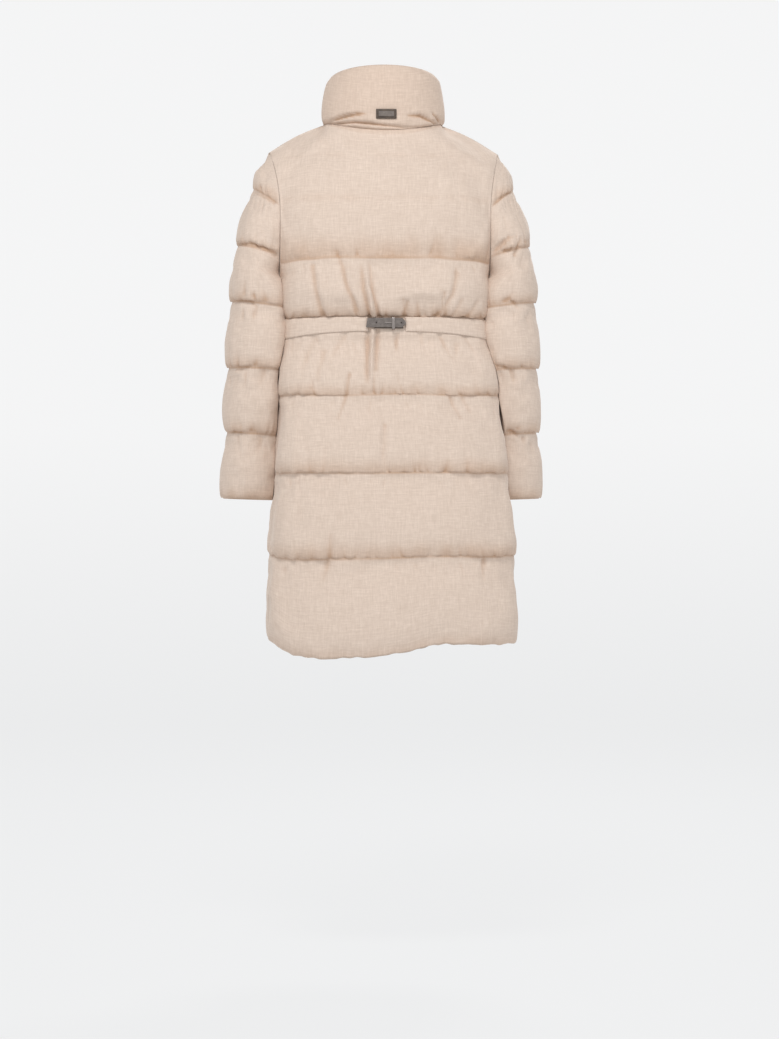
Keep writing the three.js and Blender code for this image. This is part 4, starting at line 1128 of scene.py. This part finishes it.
def wool_material():
    """Brushed melange wool: fine crossing yarns of two close beiges under a short nap, with painted shade in
    creases and at seams.
    """
    material, tree, shader = node_material("wool_melange")
    place = tree.nodes.new("ShaderNodeAttribute")
    place.attribute_name = "cloth"
    cloth = place.outputs["Vector"]
    warp = noise_node(tree, stretched(tree, cloth, (520, 70, 0)), 1.0, 2.0)
    weft = noise_node(tree, stretched(tree, cloth, (70, 520, 0)), 1.0, 2.0)
    slub = maths(tree, "ADD", noise_node(tree, stretched(tree, cloth, (300, 26, 0)), 1.0, 1.0),
                 noise_node(tree, stretched(tree, cloth, (26, 300, 0)), 1.0, 1.0))
    fleck = noise_node(tree, stretched(tree, cloth, (900, 900, 0)), 1.0, 2.0)
    cloud = noise_node(tree, stretched(tree, cloth, (14, 14, 0)), 1.0, 3.0)
    yarns = maths(tree, "ADD", maths(tree, "MULTIPLY", warp, 0.42), maths(tree, "MULTIPLY", weft, 0.42))
    mixed = maths(tree, "ADD", maths(tree, "MULTIPLY", yarns, 0.62), maths(tree, "MULTIPLY", slub, 0.17))
    mixed = maths(tree, "ADD", mixed, maths(tree, "MULTIPLY", fleck, 0.1))
    mixed = maths(tree, "ADD", mixed, maths(tree, "MULTIPLY", cloud, 0.06))
    middle = tuple((a + b) / 2 for a, b in zip(CLOTH_LIGHT, CLOTH_DARK))
    colour = ramp(tree, mixed, [(0.34, CLOTH_DARK), (0.5, middle), (0.62, CLOTH_LIGHT)])
    # painted shade: the colour is multiplied towards a darker pinkish brown by the third part of the cloth
    # attribute
    parts = tree.nodes.new("ShaderNodeSeparateXYZ")
    tree.links.new(cloth, parts.inputs[0])
    shade = tree.nodes.new("ShaderNodeMix")
    shade.data_type = "RGBA"
    shade.blend_type = "MULTIPLY"
    tree.links.new(parts.outputs["Z"], shade.inputs["Factor"])
    colour_in = [socket for socket in shade.inputs if socket.type == "RGBA"]
    colour_in[1].default_value = (*PAINTED_CREASE_SHADE, 1)
    tree.links.new(colour, colour_in[0])
    colour_out = [socket for socket in shade.outputs if socket.type == "RGBA"][0]
    tree.links.new(colour_out, shader.inputs["Base Color"])
    shader.inputs["Roughness"].default_value = 0.92
    shader.inputs["Sheen Weight"].default_value = 0.22
    shader.inputs["Sheen Roughness"].default_value = 0.45
    shader.inputs["Sheen Tint"].default_value = (1.0, 0.93, 0.86, 1)
    shader.inputs["Specular IOR Level"].default_value = 0.25
    bump(tree, shader, maths(tree, "ADD", yarns, maths(tree, "MULTIPLY", fleck, 0.35)), 0.35, 0.0006)
    return material


def leather_material(name, dark, light, roughness, scale):
    material, tree, shader = node_material(name)
    where = tree.nodes.new("ShaderNodeTexCoord").outputs["Object"]
    grain = tree.nodes.new("ShaderNodeTexVoronoi")
    grain.feature = "DISTANCE_TO_EDGE"
    grain.inputs["Scale"].default_value = scale
    tree.links.new(where, grain.inputs["Vector"])
    tone = noise_node(tree, where, 160, 4)
    tree.links.new(ramp(tree, tone, [(0.35, dark), (0.7, light)]), shader.inputs["Base Color"])
    worn = ramp(tree, noise_node(tree, where, 420, 3), [(0.3, (roughness - 0.08,) * 3),
                                                        (0.7, (roughness + 0.1,) * 3)])
    tree.links.new(worn, shader.inputs["Roughness"])
    shader.inputs["Specular IOR Level"].default_value = 0.45
    bump(tree, shader, grain.outputs["Distance"], 0.35, 0.00025)
    return material


def metal_material(name, colour, roughness):
    material, tree, shader = node_material(name)
    where = tree.nodes.new("ShaderNodeTexCoord").outputs["Object"]
    brushed = noise_node(tree, stretched(tree, where, (300, 300, 2600)), 1.0, 3)
    lighter = tuple(min(1, c * 1.25) for c in colour)
    tree.links.new(ramp(tree, brushed, [(0.3, colour), (0.7, lighter)]), shader.inputs["Base Color"])
    shader.inputs["Metallic"].default_value = 1.0
    worn = ramp(tree, brushed, [(0.3, (roughness,) * 3), (0.7, (roughness + 0.12,) * 3)])
    tree.links.new(worn, shader.inputs["Roughness"])
    bump(tree, shader, brushed, 0.15, 0.0001)
    return material


def thread_material(name, colour):
    material, tree, shader = node_material(name)
    where = tree.nodes.new("ShaderNodeTexCoord").outputs["Object"]
    twist = noise_node(tree, stretched(tree, where, (2400, 2400, 2400)), 1.0, 2)
    darker = tuple(c * 0.8 for c in colour)
    tree.links.new(ramp(tree, twist, [(0.3, darker), (0.7, colour)]), shader.inputs["Base Color"])
    shader.inputs["Roughness"].default_value = 0.8
    bump(tree, shader, twist, 0.3, 0.0001)
    return material


# ------------------------------------------------------------------ putting the coat together

WOOL = wool_material()
LEATHER = leather_material("grey_leather", (0.115, 0.097, 0.088), (0.19, 0.165, 0.15), 0.5, 900)
DARK_LEATHER = leather_material("dark_leather", (0.05, 0.034, 0.024), (0.095, 0.067, 0.048), 0.45, 900)
PLAIN_INSET = leather_material("inset_leather", (0.12, 0.098, 0.085), (0.19, 0.16, 0.14), 0.45, 1100)
GUNMETAL = metal_material("gunmetal", (0.27, 0.24, 0.225), 0.3)
DARK_METAL = metal_material("dark_metal", (0.2, 0.18, 0.165), 0.32)
THREAD = thread_material("leather_thread", (0.2, 0.17, 0.15))


def finish_piece(piece, material, slot, *nodes):
    if not piece.data.materials:
        piece.data.materials.append(material)
    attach(piece, "root")
    if nodes:
        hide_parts(*nodes)
    return piece


half_back = even_shares("back", 20)
back_shares = np.concatenate([-half_back[:0:-1], half_back])
pleat = (half_back[1:4] + half_back[:3]) / 2
back_shares = np.sort(np.concatenate([back_shares, pleat]))
front_shares = even_shares("front", 25)

back_piece, back_data = build_panel("back", "back", back_shares, [0, SEAM_GAP / 2, 0], BACK_FOLDS)
back_piece.name = "padded_back"
finish_piece(back_piece, WOOL, "wool_cloth", "back")

for node, direction in (("front_left", 1), ("front_right", -1)):
    shares = front_shares if direction > 0 else -front_shares[::-1]
    piece, _ = build_panel(node, "front", shares,
                           [direction * SEAM_GAP / 2, -SEAM_GAP / 2, 0], FRONT_FOLDS)
    piece.name = "padded_" + node
    finish_piece(piece, WOOL, "wool_cloth", node)

for node, direction in (("sleeve_left", 1), ("sleeve_right", -1)):
    piece = build_sleeve("padded_" + node, direction)
    finish_piece(piece, WOOL, "wool_cloth", node)

collar_piece, collar_data = build_collar()
finish_piece(collar_piece, WOOL, "wool_cloth", "collar")

placket_piece, placket_data = build_placket()
finish_piece(placket_piece, WOOL, "wool_cloth", "placket")

belt_left = build_belt("half_belt_left", BELT["left_from"], BELT["side_x"], 71)
finish_piece(belt_left, WOOL, "wool_cloth", "belt_left")
belt_right = build_belt("half_belt_right", BELT["right_from"], -BELT["side_x"], 72)
finish_piece(belt_right, WOOL, "wool_cloth", "belt_right")

for number in range(1, 8):
    node = f"snap_{number}"
    finish_piece(build_snap(node), DARK_METAL, "snap_metal", node)


def cad_plate(node):
    low, high = (np.array(corner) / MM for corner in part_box(node))
    return low, high


def strap_outline(low, high):
    """A strap with a slanted end on the wearer's left and a soft point on the right."""
    middle, half = (low[2] + high[2]) / 2, (high[2] - low[2]) / 2
    tip = [(low[0] + STRAP["point"] * abs(share) ** 1.5, middle + half * share)
           for share in np.linspace(-1, 1, 17)]
    return tip + [(high[0] - STRAP["slant"], high[2]), (high[0], low[2])]


def pierced(piece, holes, radius):
    """Cuts round holes through a leather piece, from front to back."""
    import bmesh
    for number, (x, y, z) in enumerate(holes):
        bm = bmesh.new()
        bmesh.ops.create_cone(bm, cap_ends=True, segments=20, radius1=radius * MM,
                              radius2=radius * MM, depth=0.02)
        turn = Vector((0, 0, 1)).rotation_difference(Vector((0, 1, 0))).to_matrix()
        for vert in bm.verts:
            vert.co = turn @ vert.co + Vector((x, y, z)) * MM
        cutter_mesh = bpy.data.meshes.new(f"cutter_{number}")
        bm.to_mesh(cutter_mesh)
        bm.free()
        cutter = bpy.data.objects.new(f"cutter_{number}", cutter_mesh)
        bpy.context.scene.collection.objects.link(cutter)
        cut = piece.modifiers.new("hole", "BOOLEAN")
        cut.operation, cut.object, cut.solver = "DIFFERENCE", cutter, "EXACT"
        graph = bpy.context.evaluated_depsgraph_get()
        result = bpy.data.meshes.new_from_object(piece.evaluated_get(graph))
        piece.modifiers.remove(cut)
        piece.data = result
        bpy.data.objects.remove(cutter)
    piece.data.set_sharp_from_angle(angle=math.radians(40))


def corner(centre, radius, start):
    """A quarter turn of an outline round a centre, from a start angle in degrees."""
    return [(centre[0] + radius * math.cos(math.radians(start + t)),
             centre[1] + radius * math.sin(math.radians(start + t))) for t in range(0, 91, 15)]


def build_bridge(low, high):
    """The buckle's bar: a rounded metal bridge over the strap, with a foot at each end."""
    foot, top, under = -low[1], -high[1], -high[1] + BUCKLE["bridge"]
    floor, roof, leg = low[2], high[2], BUCKLE["leg"]
    outer, inner = BUCKLE["outer_radius"], BUCKLE["inner_radius"]
    outline = [(foot, floor), (foot, floor + leg)]
    outline += [(under + inner, floor + leg), (under, floor + leg + inner),
                (under, roof - leg - inner), (under + inner, roof - leg)]
    outline += [(foot, roof - leg), (foot, roof)]
    outline += corner((top + outer, roof - outer), outer, 90)
    outline += corner((top + outer, floor + outer), outer, 180)
    bar = outline_solid("buckle_bar", outline, high[0] - low[0], low[0], bevel=0.5)
    for vert in bar.data.vertices:
        x, y, z = vert.co
        vert.co = (y, -x, z)
    return bar


STRAP = {"slant": 3, "point": 7, "stitch_in": 2.2, "holes": (18.5, -25.7), "hole_radius": 1.5}
BUCKLE = {"bridge": 1.6, "leg": 2, "outer_radius": 3, "inner_radius": 1.2}
PRONG_END = 4.5

low, high = cad_plate("strap")
strap = outline_solid("leather_strap", strap_outline(low, high), high[1] - low[1], low[1])
pierced(strap, [(x, (low[1] + high[1]) / 2, (low[2] + high[2]) / 2) for x in STRAP["holes"]],
        STRAP["hole_radius"])
finish_piece(strap, LEATHER, "strap_leather", "strap")
edges = (low[2] + STRAP["stitch_in"], high[2] - STRAP["stitch_in"])
lines = [((low[0] + STRAP["point"], z), (high[0] - 4.5, z)) for z in edges]
middle_z = (low[2] + high[2]) / 2
lines += [((low[0] + STRAP["point"], z), (low[0] + 3, middle_z)) for z in edges]
lines += [((high[0] - 4.5, edges[0]), (high[0] - 5.8, edges[1]))]
threads = thread_run("strap_stitches", lines, high[1])
finish_piece(threads, THREAD, "strap_leather")

low, high = cad_plate("strap_base")
outline = [(low[0], low[2]), (high[0], low[2]), (high[0], high[2]), (low[0], high[2])]
base = outline_solid("leather_underlayer", outline, high[1] - low[1], low[1])
finish_piece(base, DARK_LEATHER, "strap_leather", "strap_base")

finish_piece(build_bridge(*cad_plate("buckle")), GUNMETAL, "buckle_metal", "buckle")
low, high = cad_plate("prong")
middle_z, half = (low[2] + high[2]) / 2, (high[2] - low[2]) / 2
outline = [(low[0], middle_z - half), (low[0], middle_z + half), (PRONG_END - 4, middle_z + half * 0.9),
           (PRONG_END, middle_z + half * 0.3), (PRONG_END, middle_z - half * 0.3),
           (PRONG_END - 4, middle_z - half * 0.9)]
tongue = outline_solid("buckle_prong", outline[::-1], high[1] - low[1], low[1], bevel=0.35)
finish_piece(tongue, GUNMETAL, "buckle_metal", "prong")

low, high = cad_plate("collar_plate")
outline = [(low[0], low[2]), (high[0], low[2]), (high[0], high[2]), (low[0], high[2])]
plate = outline_solid("plain_plate", outline, high[1] - low[1], low[1], bevel=0.7)
finish_piece(plate, DARK_LEATHER, "plate_leather", "collar_plate")
low, high = cad_plate("collar_plate_inset")
outline = [(low[0], low[2]), (high[0], low[2]), (high[0], high[2]), (low[0], high[2])]
inset = outline_solid("plain_inset", outline, high[1] - low[1], low[1], bevel=0.3)
finish_piece(inset, PLAIN_INSET, "plate_inset", "collar_plate_inset")

# ------------------------------------------------------------------ stage, lights, camera

FLOOR_Z = -1.489
BACKDROP = {"flat": 6.0, "bend": 2.0, "top": 7.0, "glow": 1.0, "low": (0.765, 0.77, 0.775),
            "high": (0.84, 0.842, 0.845)}
CAMERA = {"distance": 5.0, "turn": 3.5, "z": -0.690, "right": 0.011, "lens": 96.25, "tall": 1039}


def backdrop_material():
    """White studio paper, evenly lit from behind so that it stays pale on every side."""
    material, tree, shader = node_material("pale_backdrop")
    shader.inputs["Base Color"].default_value = (0.1, 0.1, 0.1, 1)
    shader.inputs["Roughness"].default_value = 0.95
    shader.inputs["Specular IOR Level"].default_value = 0.0
    parts = tree.nodes.new("ShaderNodeSeparateXYZ")
    tree.links.new(tree.nodes.new("ShaderNodeTexCoord").outputs["Object"], parts.inputs[0])
    height = maths(tree, "DIVIDE", maths(tree, "ADD", parts.outputs["Z"], -FLOOR_Z), BACKDROP["bend"])
    glow = ramp(tree, height, [(0, BACKDROP["low"]), (0.6, BACKDROP["high"]), (1, BACKDROP["high"])])
    tree.links.new(glow, shader.inputs["Emission Color"])
    shader.inputs["Emission Strength"].default_value = BACKDROP["glow"]
    return material


def add_backdrop():
    """A round floor whose edge sweeps up into a wall, seamless from every side."""
    flat, bend, top = BACKDROP["flat"], BACKDROP["bend"], BACKDROP["top"]
    profile = [(0.0, 0.0), (flat * 0.5, 0.0), (flat, 0.0)]
    for turn in np.linspace(0, math.pi / 2, 25)[1:]:
        profile.append((flat + bend * math.sin(turn), bend * (1 - math.cos(turn))))
    profile.append((flat + bend, top))
    turns = np.linspace(0, 2 * math.pi, 96, endpoint=False)
    verts = [(0.0, 0.0, FLOOR_Z)]
    for radius, height in profile[1:]:
        verts += [(radius * math.cos(t), radius * math.sin(t), FLOOR_Z + height) for t in turns]
    count = len(turns)
    faces = [[0, 1 + i, 1 + (i + 1) % count] for i in range(count)]
    for ring in range(len(profile) - 2):
        for i in range(count):
            a, b = 1 + ring * count + i, 1 + ring * count + (i + 1) % count
            faces.append([a, a + count, b + count, b])
    backdrop = add_mesh("backdrop", verts, faces)
    backdrop.data.materials.append(backdrop_material())


def add_light(name, place, target, size, power, colour=(1, 1, 1)):
    data = bpy.data.lights.new(name, "AREA")
    data.shape = "RECTANGLE"
    data.size, data.size_y = size
    data.energy = power
    data.color = colour
    light = bpy.data.objects.new(name, data)
    bpy.context.scene.collection.objects.link(light)
    light.location = place
    light.rotation_euler = (Vector(target) - Vector(place)).to_track_quat("-Z", "Y").to_euler()


def add_world(colour, strength):
    world = bpy.data.worlds.new("studio")
    bpy.context.scene.world = world
    world.use_nodes = True
    background = world.node_tree.nodes["Background"]
    background.inputs["Color"].default_value = (*colour, 1)
    background.inputs["Strength"].default_value = strength


def add_camera():
    turn = math.radians(CAMERA["turn"])
    right = Vector((-math.cos(turn), math.sin(turn), 0))
    place = Vector((math.sin(turn), math.cos(turn), 0)) * CAMERA["distance"]
    place += right * CAMERA["right"] + Vector((0, 0, CAMERA["z"]))
    data = bpy.data.cameras.new("camera")
    data.sensor_fit = "VERTICAL"
    data.sensor_height = 36
    data.lens = CAMERA["lens"]
    camera = bpy.data.objects.new("camera", data)
    bpy.context.scene.collection.objects.link(camera)
    camera.location = place
    aim = Vector((-math.sin(turn), -math.cos(turn), 0))
    camera.rotation_euler = aim.to_track_quat("-Z", "Y").to_euler()
    bpy.context.scene.camera = camera


add_backdrop()
add_world((0.97, 0.98, 1.0), 0.12)
middle = (0, 0, -0.55)
add_light("key", (0.5, 2.7, 2.3), middle, (1.1, 0.8), 74)
add_light("fill", (-1.6, 3.2, 0.8), middle, (1.3, 1.3), 8)
add_light("front_key", (-0.8, -2.7, 2.6), middle, (1.2, 0.9), 74)
add_camera()
bpy.context.scene.view_settings.view_transform = "Standard"
